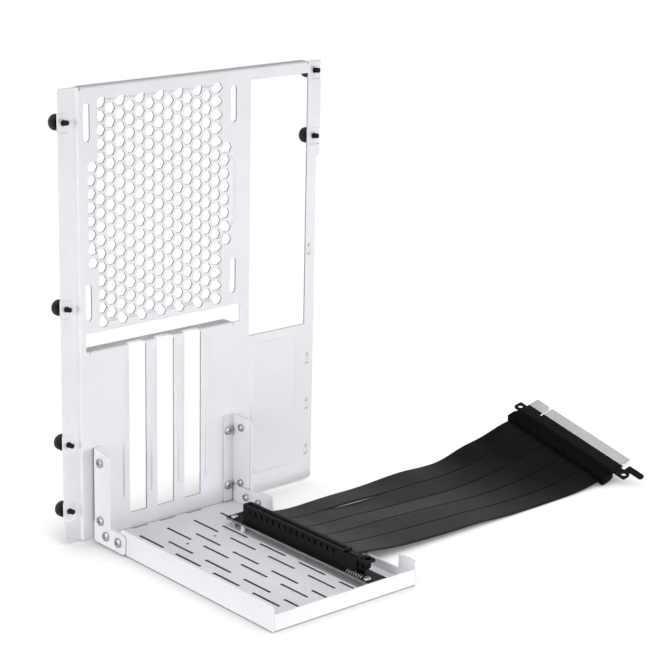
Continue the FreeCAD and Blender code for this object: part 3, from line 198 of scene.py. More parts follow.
# Each row: slot, name, dark, light, roughness range, metallic, specular, blotch scale, grain scale, edge
LOOKS = (
    ("white_coat", "white_powder_coat", (0.775, 0.77, 0.805), (0.80, 0.795, 0.83),
     (0.38, 0.5), 0, 0.3, 45, 1900, 0.0003),
    ("black_screw", "black_oxide", (0.004, 0.004, 0.0045), (0.01, 0.01, 0.011),
     (0.34, 0.52), 0, 0.12, 300, 2500, 0.00015),
    ("screw_steel", "zinc_steel", (0.36, 0.36, 0.38), (0.52, 0.52, 0.54),
     (0.24, 0.4), 1, 0.5, 500, 3000, 0.0001),
    ("board_mask", "black_solder_mask", (0.006, 0.006, 0.0068), (0.012, 0.012, 0.0132),
     (0.34, 0.48), 0, 0.04, 250, 1500, 0.0001),
    ("post_steel", "post_steel", (0.48, 0.48, 0.49), (0.64, 0.64, 0.65),
     (0.24, 0.4), 1, 0.5, 400, 2200, 0.0001),
    ("rest_nylon", "white_nylon", (0.76, 0.76, 0.75), (0.83, 0.83, 0.82),
     (0.42, 0.56), 0, 0.4, 300, 1600, 0.0001),
    ("slot_plastic", "slot_plastic", (0.007, 0.007, 0.0073), (0.012, 0.012, 0.0125),
     (0.4, 0.56), 0, 0.05, 350, 2600, 0.00015),
    ("contact_metal", "plated_contact", (0.68, 0.54, 0.25), (0.80, 0.66, 0.36),
     (0.2, 0.32), 1, 0.5, 900, 3000, 0),
    ("solder_tin", "solder_tin", (0.3, 0.3, 0.3), (0.48, 0.48, 0.47),
     (0.28, 0.46), 1, 0.5, 1200, 2800, 0),
    ("boot_rubber", "boot_rubber", (0.0045, 0.0045, 0.0048), (0.009, 0.009, 0.0095),
     (0.5, 0.66), 0, 0.2, 300, 2000, 0.0002),
    ("shroud_plastic", "shroud_plastic", (0.004, 0.004, 0.004), (0.007, 0.007, 0.007),
     (0.5, 0.64), 0, 0.01, 320, 2600, 0.0003),
    ("finger_metal", "plated_finger", (0.645, 0.64, 0.645), (0.69, 0.685, 0.69),
     (0.36, 0.46), 0.1, 0.5, 1500, 2400, 0),
    ("ribbon_jacket", "ribbon_jacket", (0.005, 0.005, 0.0053), (0.009, 0.009, 0.0094),
     (0.34, 0.46), 0, 0.1, 60, 900, 0),
)
# Each row: slot, name, dark, light, roughness range, blotch scale, detail and stretch, scuff scale, grain
BARE_AND_SHADED_EDGES = (
    ("board_edge", "bare_board_edge", (0.14, 0.14, 0.135), (0.24, 0.24, 0.235),
     (0.5, 0.7), 700, 4, (1, 0.2, 3), 1200, 0.2),
    # Painted shade: walls of the panel's grille cells, card slots and opening are painted grey
    ("hole_wall_painted_shade", "hole_wall_painted_shade", (0.26, 0.26, 0.28), (0.33, 0.33, 0.35),
     (0.45, 0.6), 300, 3, None, 900, 0.15),
    # Painted shade: walls of the tray's slits are painted near black, so the slits look dark
    ("slit_wall_painted_shade", "slit_wall_painted_shade", (0.04, 0.04, 0.042), (0.07, 0.07, 0.072),
     (0.5, 0.7), 900, 3, None, 1200, 0.2),
)
# Reach and depth of the painted shade that darkens the base colour in corners
PAINTED_CORNER_SHADE = {"white_coat": (0.0035, 0.3), "slot_plastic": (0.002, 0.3)}
# Start, stop and last share of a shine that fades along the cable
FADES = {"ribbon_jacket": (0.14, 0.2, 0.25)}


def make_materials():
    made = {}
    for slot, name, dark, light, rough, metallic, specular, blotch, grain, edge in LOOKS:
        look = Look(name, dark, light, rough, metallic, specular)
        look.tint(look.noise(blotch, 4))
        look.roughen(look.noise(blotch * 4, 3))
        look.bump(look.noise(grain, 2), GRAIN_STRENGTH, GRAIN_DEPTH, edge)
        if slot in PAINTED_CORNER_SHADE:
            look.shade_corners(*PAINTED_CORNER_SHADE[slot])
        if slot in FADES:
            look.fade_along(*FADES[slot])
        made[slot] = look.material
    for slot, name, dark, light, rough, blotch, detail, stretch, scuff, strength in BARE_AND_SHADED_EDGES:
        look = Look(name, dark, light, rough)
        look.tint(look.noise(blotch, detail, stretch))
        look.roughen(look.noise(scuff, 3))
        look.bump(look.noise(EDGE_GRAIN, 3), strength, EDGE_DEPTH)
        made[slot] = look.material
    return made


MATERIALS = make_materials()


def dress_nodes():
    for part in frame["record"]["subparts"]:
        skins = frame["nodes"][part["node"]].data.materials
        skins.clear()
        skins.append(MATERIALS[part["material_slot"]])


# One visual piece in place of its nodes; faces marked 1 wear the second skin
def add_piece(name, bm, slot, *replaced, second=None, body=FRAME_BODY, sharp=24.0):
    bmesh.ops.recalc_face_normals(bm, faces=bm.faces)
    bm.transform(Matrix.Scale(MM, 4))
    mesh = bpy.data.meshes.new(name)
    bm.to_mesh(mesh)
    bm.free()
    mesh.shade_smooth()
    mesh.set_sharp_from_angle(angle=math.radians(sharp))
    mesh.materials.append(MATERIALS[slot])
    if second:
        mesh.materials.append(MATERIALS[second])
    piece = bpy.data.objects.new(name, mesh)
    bpy.context.scene.collection.objects.link(piece)
    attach(piece, body)
    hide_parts(*replaced)
    return piece


# Flat outlines, each ring counter-clockwise
SAME_SPOT = 1e-4


def offset_ring(ring, gap):
    grown = []
    for i, (x, y) in enumerate(ring):
        before = ring[i - 1]
        after = ring[(i + 1) % len(ring)]
        first = Vector((y - before[1], before[0] - x)).normalized()
        second = Vector((after[1] - y, x - after[0])).normalized()
        way = (first + second) / max(0.3, 1 + first.dot(second))
        grown.append((x + way.x * gap, y + way.y * gap))
    return grown


def rounded(low_x, high_x, low_y, high_y, radius, steps=5):
    radius = min(radius, (high_x - low_x) / 2, (high_y - low_y) / 2)
    left, right, front, back = low_x + radius, high_x - radius, low_y + radius, high_y - radius
    ring = []
    for x, y, start in ((right, front, -90), (right, back, 0), (left, back, 90), (left, front, 180)):
        for i in range(steps + 1):
            turn = math.radians(start + 90 * i / steps)
            spot = (x + radius * math.cos(turn), y + radius * math.sin(turn))
            if not ring or math.dist(spot, ring[-1]) > SAME_SPOT:
                ring.append(spot)
    if math.dist(ring[0], ring[-1]) < SAME_SPOT:
        ring.pop()
    return ring


def disc(x, y, radius, count=20):
    turns = [math.radians(360 * i / count) for i in range(count)]
    return [(x + radius * math.cos(turn), y + radius * math.sin(turn)) for turn in turns]


# Corners of an outline; a third value is the reach of a rounded corner
def soften(corners, steps=4):
    soft = []
    for i, corner in enumerate(corners):
        if len(corner) == 2:
            soft.append(corner)
            continue
        spot = Vector(corner[:2])
        before = Vector(corners[i - 1][:2]) - spot
        after = Vector(corners[(i + 1) % len(corners)][:2]) - spot
        start = spot + before.normalized() * corner[2]
        stop = spot + after.normalized() * corner[2]
        for k in range(steps + 1):
            share = k / steps
            point = start.lerp(spot, share).lerp(spot.lerp(stop, share), share)
            soft.append((point.x, point.y))
    return soft


def holds(ring, spot):
    inside = False
    x, y = spot
    for (ax, ay), (bx, by) in zip(ring, ring[1:] + ring[:1]):
        if (ay > y) != (by > y) and x < ax + (y - ay) * (bx - ax) / (by - ay):
            inside = not inside
    return inside


def within(spot, zone):
    return zone[0] < spot.x < zone[1] and zone[2] < spot.y < zone[3]


def closed(ring):
    return ring + ring[:1]


# Triangles between an outline and its holes, with edges along the guide lines
def fill(outline, holes, lines):
    points = []
    edges = []
    for line in [closed(outline)] + [closed(hole) for hole in holes] + lines:
        loop = line[0] == line[-1]
        first = len(points)
        count = len(line) - 1 if loop else len(line)
        points.extend(Vector(spot) for spot in line[:count])
        edges.extend((first + i, first + i + 1) for i in range(count - 1))
        if loop:
            edges.append((first + count - 1, first))
    spots, _, triangles, _, _, _ = delaunay_2d_cdt(points, edges, [], 0, 1e-5)
    zones = []
    for hole in holes:
        across, up = zip(*hole)
        zones.append((min(across), max(across), min(up), max(up)))
    kept = []
    for corners in triangles:
        middle = sum((spots[i] for i in corners), Vector((0, 0))) / len(corners)
        if not holds(outline, middle):
            continue
        if any(within(middle, zone) and holds(hole, middle) for zone, hole in zip(zones, holes)):
            continue
        kept.append(tuple(corners))
    return spots, kept


def rims(triangles):
    seen = {}
    for corners in triangles:
        for pair in zip(corners, corners[1:] + corners[:1]):
            if pair[::-1] in seen:
                del seen[pair[::-1]]
            else:
                seen[pair] = True
    return list(seen)


# A sheet of metal: two skins over a flat pattern, with softened rims; walls in the zones are marked 1
def add_sheet(bm, outline, holes, lines, spot_of, rim=0.18, zones=()):
    guides = [offset_ring(outline, -rim)] + [offset_ring(hole, rim) for hole in holes]
    spots, triangles = fill(outline, holes, [closed(ring) for ring in guides] + lines)
    border = rims(triangles)
    on_rim = {i for pair in border for i in pair}
    front = {}
    back = {}
    for i in sorted({i for corners in triangles for i in corners}):
        near, far = (Vector(spot) for spot in spot_of(spots[i].x, spots[i].y))
        if i in on_rim:
            ease = (far - near).normalized() * rim * 0.7
            near, far = near + ease, far - ease
        front[i] = bm.verts.new(near)
        back[i] = bm.verts.new(far)
    for corners in triangles:
        bm.faces.new([front[i] for i in corners])
        bm.faces.new([back[i] for i in reversed(corners)])
    for a, b in border:
        wall = bm.faces.new((front[b], front[a], back[a], back[b]))
        middle = (spots[a] + spots[b]) / 2
        wall.material_index = int(any(within(middle, zone) for zone in zones))


# A soft fold through a right angle: arc stations, the flat run of a wall, and the two skins' places
FOLD = 1.4
FOLD_RUN = FOLD * math.pi / 2
FOLD_STEPS, FOLD_LEAD = 8, 0.3
FOLD_ARC = [FOLD_RUN * i / FOLD_STEPS for i in range(FOLD_STEPS + 1)]
FOLD_GUIDES = [-FOLD_LEAD, *FOLD_ARC, FOLD_RUN + FOLD_LEAD]


def folded(height):
    return FOLD_RUN + height - FOLD


def fold(along):
    if along <= 0:
        return (along, 0.0), (along, METAL)
    if along < FOLD_RUN:
        turn = along / FOLD
        inner = FOLD - METAL
        return (
            (FOLD * math.sin(turn), FOLD - FOLD * math.cos(turn)),
            (inner * math.sin(turn), FOLD - inner * math.cos(turn)),
        )
    rise = FOLD + along - FOLD_RUN
    return (FOLD, rise), (FOLD - METAL, rise)


# Rear panel: outer edges and openings of the one sheet that three nodes share
CARD_SHEET, FAN_SHEET, IO_SHEET = (node_box(node) for node in ("rear_panel", "fan_panel", "io_frame"))
FACE = FAN_SHEET.front
PANEL_LEFT, PANEL_RIGHT, TAB_RIGHT = CARD_SHEET.left, CARD_SHEET.right, IO_SHEET.right
PANEL_FOOT, PANEL_HIGH, TAB_LOW = CARD_SHEET.low, IO_SHEET.high, 213.5
FOOT_LEFT, FOOT_RIGHT, FOOT_LOW = -74.0, 27.7, 1.26
IO_LEFT, IO_LOW, IO_WIDTH, IO_HEIGHT = FAN_SHEET.right, IO_SHEET.low, 44.45, 158.75
WINDOW_LOW, WINDOW_HIGH = CARD_SHEET.high, FAN_SHEET.low
WINDOW_LEFT, WINDOW_RIGHT = -79.25, 33.45

# Folded lips, with the narrow cuts beside them
SNUG = 0.05
PANEL_TOP = PANEL_HIGH - FOLD
TOP_LIP_LEFT, TOP_LIP_RIGHT, TOP_LIP_DEPTH = -81.25, 84.65, 6.6
TOP_CUT_LEFT, TOP_CUT_RIGHT, TOP_CUT_LOW = -82.0, 85.25, 270.4
LIP_START = WINDOW_LOW - FOLD
LIP_LEFT, LIP_RIGHT, LIP_DEPTH = -76.45, 28.35, 9.4
LIP_CUT, LIP_CUT_LOW = 0.4, 115.2

# Card slots, their screw holes, and the tongues that stand in the tray's notches
CARD_COUNT, CARD_PITCH = 3, 20.32
CARD_LEFT, CARD_WIDTH, CARD_LOW, CARD_CUT = -49.15, 12.3, 11.1, 4.4
CARD_HOLE, CARD_HOLE_STEP, CARD_HOLE_DEPTH = 1.75, 14.7, 6.35
NOTCH_LEFT, NOTCH_WIDTH, NOTCH_BACK = -48.25, 11.4, 76.3
TONGUE_GAP, TONGUE_LOW = 0.2, 0.15

# Screws, hooks and fan slots
SCREW_ACROSS, SCREW_HOLE = 90.75, 1.7
LEFT_UPS = [node_height("thumbscrew_left_%d" % (i + 1)) for i in range(4)]
RIGHT_UPS = [node_height("thumbscrew_right_%d" % (i + 1)) for i in range(2)]
HOOK_UPS = (154.3, 83.0, 52.5, 22.0)
HOOK_ACROSS, HOOK_HALF, HOOK_HOLE, HOOK_HOLE_UP = 87.85, 1.6, 0.9, 2.4
HOOK_SLIT_HALF, HOOK_SLIT_LOW, HOOK_SLIT_HIGH = 1.3, -3.3, -2.6
FAN_MIDDLE, FAN_PITCH = (-24.6, 199.2), 105.0
FAN_SLOT_HALF, FAN_SLOT_REACH = 2.15, 11.1

# Left flange, set back from the face by a joggle of two bends
FLANGE_BACK = 2.0
JOGGLE_LEFT = -83.45
WIDE_BEND, MIDDLE_BEND, TIGHT_BEND = 1.0, 0.6, 0.3
LEAD_IN, LEAD_OUT = 1.25, 1.2


def joggle_rows():
    along = JOGGLE_LEFT + WIDE_BEND
    lead = along + LEAD_IN
    rows = [(lead, (lead, FACE), (lead, FACE + METAL))]
    flange = FACE + FLANGE_BACK
    bends = ((1, FACE, 8, WIDE_BEND, TIGHT_BEND), (-1, flange, 6, MIDDLE_BEND, WIDE_BEND))
    for way, plane, steps, near, far in bends:
        for i in range(steps + 1):
            turn = math.pi / 2 * i / steps
            across, back = (1 - math.sin(turn), 1 - math.cos(turn))[::way]
            skins = []
            for depth, radius in ((0, way * near), (METAL, way * far)):
                skins.append((JOGGLE_LEFT + depth + radius * across, plane + depth + radius * back))
            rows.append((along - near * turn, *skins))
        along = rows[-1][0] - (FLANGE_BACK - WIDE_BEND - MIDDLE_BEND)
    end = rows[-1][1][0] - LEAD_OUT
    rows.append((rows[-1][0] - LEAD_OUT, (end, flange), (end, flange + METAL)))
    return rows


JOGGLE = joggle_rows()
FLANGE_SHIFT = round(JOGGLE[-1][1][0] - JOGGLE[-1][0], 3)

# Ribs beside the card slots, the large emboss, and the sunk pads around screws and hooks
RIB_STEP, RIB_HALF, RIB_LOW, RIB_HIGH, RIB_RISE, RIB_SLOPE = 4.0, 1.0, 22.0, 111.0, 0.85, 0.45
EMBOSS, EMBOSS_CORNER, EMBOSS_RISE, EMBOSS_SLOPE = (42.25, 78.25, 14.5, 100.8), 6.0, 0.8, 1.0
PAD_SINK, PAD_SLOPE, PAST_EDGE = 0.6, 0.6, 99.0
# Each row: heights, left edge, right edge, half height, corner
PADS = (
    (LEFT_UPS, -PAST_EDGE, -86.85 - FLANGE_SHIFT, 5.85, 2.0),
    (RIGHT_UPS, 86.75, PAST_EDGE, 5.4, 1.6),
    (HOOK_UPS, HOOK_ACROSS - HOOK_HALF, HOOK_ACROSS + HOOK_HALF, 4.2, 0.5),
)


def rise_shapes():
    rows = []
    for i in range(CARD_COUNT + 1):
        middle = CARD_LEFT - RIB_STEP + CARD_PITCH * i
        rows.append((middle - RIB_HALF, middle + RIB_HALF, RIB_LOW, RIB_HIGH, RIB_HALF, -RIB_RISE, RIB_SLOPE))
    rows.append((*EMBOSS, EMBOSS_CORNER, -EMBOSS_RISE, EMBOSS_SLOPE))
    for ups, left, right, half, corner in PADS:
        rows += [(left, right, up - half, up + half, corner, PAD_SINK, PAD_SLOPE) for up in ups]
    return rows


RISES = rise_shapes()

# Fan field pressed back behind the panel's face: an upright body with a shallow bay on each side
FIELD_LEFT, FIELD_RIGHT, FIELD_LOW, FIELD_HIGH = -69.9, 19.3, 132.8, 264.3
BAY_LEFT, BAY_RIGHT, BAY_MIDDLE, BAY_HALF = -76.8, 30.35, 198.9, 17.9
FIELD_DEPTH, FIELD_SLOPE = 1.8, 1.6
GRILLE_MIDDLE = (-25.29, 197.82)
CELL_STEP, CELL_PITCH, CELL_FLATS, CELL_CORNER = 6.883, 8.03, 6.15, 0.45
LAST_COLUMN, FULL_ROWS, BAY_ROWS = 7, 8, 4


def field_corners(inset):
    short = BAY_HALF - inset * (math.sqrt(2) - 1)
    sides = (
        (FIELD_RIGHT - inset, BAY_RIGHT - inset, FIELD_LOW + inset, FIELD_HIGH - inset),
        (FIELD_LEFT + inset, BAY_LEFT + inset, FIELD_HIGH - inset, FIELD_LOW + inset),
    )
    spots = []
    for edge, bay, first, last in sides:
        way = 1 if last > first else -1
        long = short + abs(bay - edge)
        spots.append((edge, first))
        for x, z in ((edge, -long), (bay, -short), (bay, short), (edge, long)):
            spots.append((x, BAY_MIDDLE + way * z))
        spots.append((edge, last))
    return spots


def field_gap(across, up):
    ends = max(FIELD_LOW - up, up - FIELD_HIGH)
    rise = abs(up - BAY_MIDDLE) - BAY_HALF
    gaps = [max(ends, FIELD_LEFT - across, across - FIELD_RIGHT)]
    for past_bay, past_middle in (
        (across - BAY_RIGHT, GRILLE_MIDDLE[0] - across), (BAY_LEFT - across, across - GRILLE_MIDDLE[0]),
    ):
        gaps.append(max(ends, past_bay, past_middle, (past_bay + rise) / math.sqrt(2)))
    return min(gaps)


def smooth_step(share):
    share = min(max(share, 0.0), 1.0)
    return share * share * (3 - 2 * share)


def relief(across, up):
    depth = 0.0
    for low_x, high_x, low_z, high_z, corner, height, slope in RISES:
        x = abs(across - (low_x + high_x) / 2) - (high_x - low_x) / 2 + corner
        z = abs(up - (low_z + high_z) / 2) - (high_z - low_z) / 2 + corner
        gap = math.hypot(max(x, 0), max(z, 0)) + min(max(x, z), 0) - corner
        depth += height * smooth_step(-gap / slope)
    return depth + FIELD_DEPTH * smooth_step(-field_gap(across, up) / FIELD_SLOPE)


def lip_spot(across, up, start):
    front, back = fold(up - start)
    return (across, FACE + front[1], start + front[0]), (across, FACE + back[1], start + back[0])


def panel_spot(across, up):
    if up > PANEL_TOP and TOP_LIP_LEFT - SNUG < across < TOP_LIP_RIGHT + SNUG:
        return lip_spot(across, up, PANEL_TOP)
    if LIP_START < up < WINDOW_HIGH - SNUG and LIP_LEFT - SNUG < across < LIP_RIGHT + SNUG:
        return lip_spot(across, up, LIP_START)
    push = relief(across, up)
    if across >= JOGGLE[0][0]:
        return (across, FACE + push, up), (across, FACE + METAL + push, up)
    if across <= JOGGLE[-1][0]:
        x = across + FLANGE_SHIFT
        y = FACE + FLANGE_BACK + push
        return (x, y, up), (x, y + METAL, up)
    for (a, front_a, back_a), (b, front_b, back_b) in zip(JOGGLE, JOGGLE[1:]):
        if across >= b - 1e-9:
            share = (a - across) / (a - b)
            front = Vector(front_a).lerp(Vector(front_b), share)
            back = Vector(back_a).lerp(Vector(back_b), share)
            return (front.x, front.y, up), (back.x, back.y, up)


def panel_outline():
    left = PANEL_LEFT - FLANGE_SHIFT
    lip_end = PANEL_TOP + folded(TOP_LIP_DEPTH)
    corners = [(left, PANEL_FOOT, 3.0), (FOOT_LEFT, PANEL_FOOT), (FOOT_LEFT, FOOT_LOW)]
    for i in range(CARD_COUNT):
        near = NOTCH_LEFT + CARD_PITCH * i + TONGUE_GAP
        far = near + NOTCH_WIDTH - 2 * TONGUE_GAP
        corners += [(near, FOOT_LOW), (near, TONGUE_LOW), (far, TONGUE_LOW), (far, FOOT_LOW)]
    corners += [
        (FOOT_RIGHT, FOOT_LOW), (FOOT_RIGHT, PANEL_FOOT), (PANEL_RIGHT, PANEL_FOOT, 3.0),
        (PANEL_RIGHT, TAB_LOW, 0.6), (TAB_RIGHT, TAB_LOW, 0.6), (TAB_RIGHT, PANEL_HIGH, 1.2),
        (TOP_CUT_RIGHT, PANEL_HIGH, 0.8), (TOP_CUT_RIGHT, TOP_CUT_LOW), (TOP_LIP_RIGHT, TOP_CUT_LOW),
        (TOP_LIP_RIGHT, lip_end), (TOP_LIP_LEFT, lip_end), (TOP_LIP_LEFT, TOP_CUT_LOW),
        (TOP_CUT_LEFT, TOP_CUT_LOW), (TOP_CUT_LEFT, PANEL_HIGH), (left, PANEL_HIGH, 3.0),
    ]
    return soften(corners)


def window_outline():
    lip_end = LIP_START + folded(LIP_DEPTH)
    cut_left, cut_right = LIP_LEFT - LIP_CUT, LIP_RIGHT + LIP_CUT
    corners = [
        (WINDOW_LEFT, WINDOW_LOW, 0.5), (cut_left, WINDOW_LOW), (cut_left, LIP_CUT_LOW),
        (LIP_LEFT, LIP_CUT_LOW), (LIP_LEFT, lip_end, 1.5), (LIP_RIGHT, lip_end, 1.5),
        (LIP_RIGHT, LIP_CUT_LOW), (cut_right, LIP_CUT_LOW), (cut_right, WINDOW_LOW),
        (WINDOW_RIGHT, WINDOW_LOW, 0.6), (WINDOW_RIGHT, WINDOW_HIGH, 0.6), (WINDOW_LEFT, WINDOW_HIGH, 0.6),
    ]
    return soften(corners, 3)


def grille_cells():
    cells = []
    for column in range(-LAST_COLUMN, LAST_COLUMN + 1):
        rows = range(-FULL_ROWS, FULL_ROWS + 1)
        if column % 2:
            half = BAY_ROWS if abs(column) == LAST_COLUMN else FULL_ROWS
            rows = [i + 0.5 for i in range(-half, half)]
        for row in rows:
            x, up = GRILLE_MIDDLE[0] + CELL_STEP * column, GRILLE_MIDDLE[1] + CELL_PITCH * row
            cell = disc(x, up, CELL_FLATS / math.sqrt(3), 6)
            cells.append(soften([(*corner, CELL_CORNER) for corner in cell], 2))
    return cells


def panel_holes():
    holes = [rounded(IO_LEFT, IO_LEFT + IO_WIDTH, IO_LOW, IO_LOW + IO_HEIGHT, 0.6, 3), window_outline()]
    for i in range(CARD_COUNT):
        x = CARD_LEFT + CARD_PITCH * i
        holes.append(rounded(x, x + CARD_WIDTH, CARD_LOW, LIP_START + folded(CARD_CUT), 0.6, 3))
        holes.append(disc(x + CARD_HOLE_STEP, LIP_START + folded(CARD_HOLE_DEPTH), CARD_HOLE))
    for side in (-1, 1):
        for level in (-1, 1):
            x, up = (middle + way * FAN_PITCH / 2 for middle, way in zip(FAN_MIDDLE, (side, level)))
            ends = (x - FAN_SLOT_HALF, x + FAN_SLOT_HALF, up - FAN_SLOT_REACH, up + FAN_SLOT_REACH)
            holes.append(rounded(*ends, FAN_SLOT_HALF, 6))
    holes += [disc(-SCREW_ACROSS - FLANGE_SHIFT, up, SCREW_HOLE) for up in LEFT_UPS]
    holes += [disc(SCREW_ACROSS, up, SCREW_HOLE) for up in RIGHT_UPS]
    for up in HOOK_UPS:
        holes.append(disc(HOOK_ACROSS, up + HOOK_HOLE_UP, HOOK_HOLE, 12))
        left, right = HOOK_ACROSS - HOOK_SLIT_HALF, HOOK_ACROSS + HOOK_SLIT_HALF
        holes.append(rounded(left, right, up + HOOK_SLIT_LOW, up + HOOK_SLIT_HIGH, 0.3, 2))
    return holes + grille_cells()


def panel_guides():
    uprights = [row[0] for row in JOGGLE] + [JOGGLE[0][0] + 0.2, JOGGLE[-1][0] - 0.3]
    lines = [[(along, 0.0), (along, PANEL_HIGH + 1)] for along in uprights]
    for step in FOLD_GUIDES:
        lines.append([(TOP_LIP_LEFT + SNUG, PANEL_TOP + step), (TOP_LIP_RIGHT - SNUG, PANEL_TOP + step)])
        lines.append([(LIP_LEFT + SNUG, LIP_START + step), (LIP_RIGHT - SNUG, LIP_START + step)])
    for low_x, high_x, low_z, high_z, corner, _, slope in RISES:
        for inset in (-0.3, 0, slope * 0.3, slope * 0.5, slope * 0.7, slope, slope + 0.25):
            if high_x - low_x > 2 * inset + 0.2:
                ends = (low_x + inset, high_x - inset, low_z + inset, high_z - inset)
                lines.append(closed(rounded(*ends, max(corner - inset, 0.1))))
    for share in (-0.2, 0, 0.2, 0.35, 0.5, 0.65, 0.8, 1, 1.2):
        lines.append(closed(field_corners(FIELD_SLOPE * share)))
    return lines


def add_panel():
    margin, cell_reach = 0.5, 4
    cards_right = CARD_LEFT + CARD_PITCH * (CARD_COUNT - 1) + CARD_WIDTH
    # Hole walls in these zones wear the painted shade
    painted_shade_zones = (
        (BAY_LEFT, BAY_RIGHT, FIELD_LOW - cell_reach, FIELD_HIGH + cell_reach),
        (CARD_LEFT - margin, cards_right + margin, CARD_LOW - margin, LIP_START - margin),
        (IO_LEFT - margin, IO_LEFT + IO_WIDTH + margin, IO_LOW - margin, IO_LOW + IO_HEIGHT + margin),
    )
    bm = bmesh.new()
    add_sheet(bm, panel_outline(), panel_holes(), panel_guides(), panel_spot, zones=painted_shade_zones)
    add_piece("folded_panel", bm, "white_coat", "rear_panel", "fan_panel", "io_frame", second="hole_wall_painted_shade")


# Tray: floor with slits and three folded walls
TRAY = node_box("tray")
TRAY_BACK = 77.98
FLOOR_LEFT, FLOOR_RIGHT, FLOOR_FRONT = TRAY.left + FOLD, TRAY.right - FOLD, TRAY.front + FOLD
WALL_HIGH, WALL_STEP, CABLE_LIP, FRONT_RIM = TRAY.high, 12.8, 6.6, 10.2
CABLE_FRONT, CABLE_BACK, WALL_STEP_FRONT = -76.5, 38.0, 50.0
WALL_CUT, RIM_CUT = 0.2, 0.17
SLIT_LEFT, SLIT_BACK, SLIT_PITCH, SLIT_ROWS, SLIT_COLUMNS = -51.65, 53.0, 36, 4, 4
SLIT_HALF, SLIT_REACH, SLIT_SHIFT, SLIT_LAG = 0.9, 12, 12.22, 18
PIN_LEFT, PIN_BACK, PIN_HOLE = -36.85, 37.0, 0.9


def tray_spot(across, along):
    edge = (WALL_CUT + RIM_CUT) / 2
    on_rim = along < FLOOR_FRONT - WALL_CUT + TINY and FLOOR_LEFT - edge < across < FLOOR_RIGHT + edge
    if across < FLOOR_LEFT and not on_rim:
        low, high = fold(FLOOR_LEFT - across)
        return (FLOOR_LEFT - high[0], along, high[1]), (FLOOR_LEFT - low[0], along, low[1])
    if across > FLOOR_RIGHT and not on_rim:
        low, high = fold(across - FLOOR_RIGHT)
        return (FLOOR_RIGHT + high[0], along, high[1]), (FLOOR_RIGHT + low[0], along, low[1])
    low, high = fold(FLOOR_FRONT - along)
    return (across, FLOOR_FRONT - high[0], high[1]), (across, FLOOR_FRONT - low[0], low[1])


def tray_outline():
    wall, step, lip = (folded(height) for height in (WALL_HIGH, WALL_STEP, CABLE_LIP))
    left, right, cut, rim = FLOOR_LEFT, FLOOR_RIGHT, FLOOR_FRONT - WALL_CUT, FLOOR_FRONT - folded(FRONT_RIM)
    corners = [
        (left - wall, TRAY.front), (left - WALL_CUT, TRAY.front), (left - WALL_CUT, cut),
        (left - RIM_CUT, cut), (left - RIM_CUT, rim), (right + RIM_CUT, rim), (right + RIM_CUT, cut),
        (right + WALL_CUT, cut), (right + WALL_CUT, TRAY.front), (right + wall, TRAY.front),
        (right + wall, CABLE_FRONT), (right + lip, CABLE_FRONT), (right + lip, CABLE_BACK),
        (right + wall, CABLE_BACK), (right + wall, WALL_STEP_FRONT), (right + step, WALL_STEP_FRONT),
        (right + step, TRAY_BACK),
    ]
    for i in reversed(range(CARD_COUNT)):
        near = NOTCH_LEFT + CARD_PITCH * i
        far = near + NOTCH_WIDTH
        corners += [(far, TRAY_BACK), (far, NOTCH_BACK), (near, NOTCH_BACK), (near, TRAY_BACK)]
    corners += [(left - step, TRAY_BACK), (left - step, WALL_STEP_FRONT), (left - wall, WALL_STEP_FRONT)]
    return corners


def tray_holes():
    holes = []
    for row in range(SLIT_ROWS):
        for column in range(SLIT_COLUMNS):
            for shift, lag in ((0, 0), (SLIT_SHIFT, SLIT_LAG)):
                x = SLIT_LEFT + CARD_PITCH * column - shift
                y = SLIT_BACK - SLIT_PITCH * row - lag
                holes.append(rounded(x - SLIT_HALF, x + SLIT_HALF, y - SLIT_REACH, y + SLIT_REACH, 0.5, 3))
    return holes + [disc(PIN_LEFT + CARD_PITCH * i, PIN_BACK, PIN_HOLE, 14) for i in range(2)]


def add_tray():
    lines = []
    for step in FOLD_GUIDES:
        lines.append([(FLOOR_LEFT - step, TRAY.front), (FLOOR_LEFT - step, TRAY_BACK)])
        lines.append([(FLOOR_RIGHT + step, TRAY.front), (FLOOR_RIGHT + step, TRAY_BACK)])
        lines.append([(FLOOR_LEFT - 0.1, FLOOR_FRONT - step), (FLOOR_RIGHT + 0.1, FLOOR_FRONT - step)])
    # Slit walls inside this zone wear the painted shade
    floor = (FLOOR_LEFT + 1, FLOOR_RIGHT - 1, FLOOR_FRONT + 1, NOTCH_BACK - 1)
    bm = bmesh.new()
    add_sheet(bm, tray_outline(), tray_holes(), lines, tray_spot, zones=(floor,))
    add_piece("folded_tray", bm, "white_coat", "tray", second="slit_wall_painted_shade")


# Angles behind the side plates, and the plates themselves, drawn on the left and mirrored to the right
ANGLE = node_box("panel_angle_left")
ANGLE_WIDTH, ANGLE_LEG = ANGLE.right - ANGLE.left, ANGLE.back - ANGLE.front
ANGLE_STEP = 13.1
PLATE = node_box("side_plate_left")
PLATE_STEP_BACK, PLATE_STEP_HIGH = 60.4, 12.6


def on_side(x, side):
    return x if side == "left" else TRAY.left + TRAY.right - x


def add_angle(side):
    def spot_of(across, up):
        outer, inner = fold(FLOOR_LEFT - across)
        return [(on_side(FLOOR_LEFT - x, side), FACE - y, up) for x, y in (inner, outer)]

    root = FLOOR_LEFT + 0.1
    end = FLOOR_LEFT + ANGLE_WIDTH - FOLD
    leg = FLOOR_LEFT - folded(ANGLE_LEG)
    corners = [
        (root, ANGLE.low), (end, ANGLE.low, 0.8), (end, ANGLE.high, 2.2), (leg, ANGLE.high, 5.0),
        (leg, ANGLE_STEP, 0.6), (root, ANGLE_STEP),
    ]
    ends = (ANGLE.low - 1, ANGLE.high + 0.8)
    lines = [[(FLOOR_LEFT - step, up) for up in ends] for step in FOLD_GUIDES]
    bm = bmesh.new()
    add_sheet(bm, soften(corners, 6), [], lines, spot_of)
    add_piece("folded_angle_" + side, bm, "white_coat", "panel_angle_" + side)


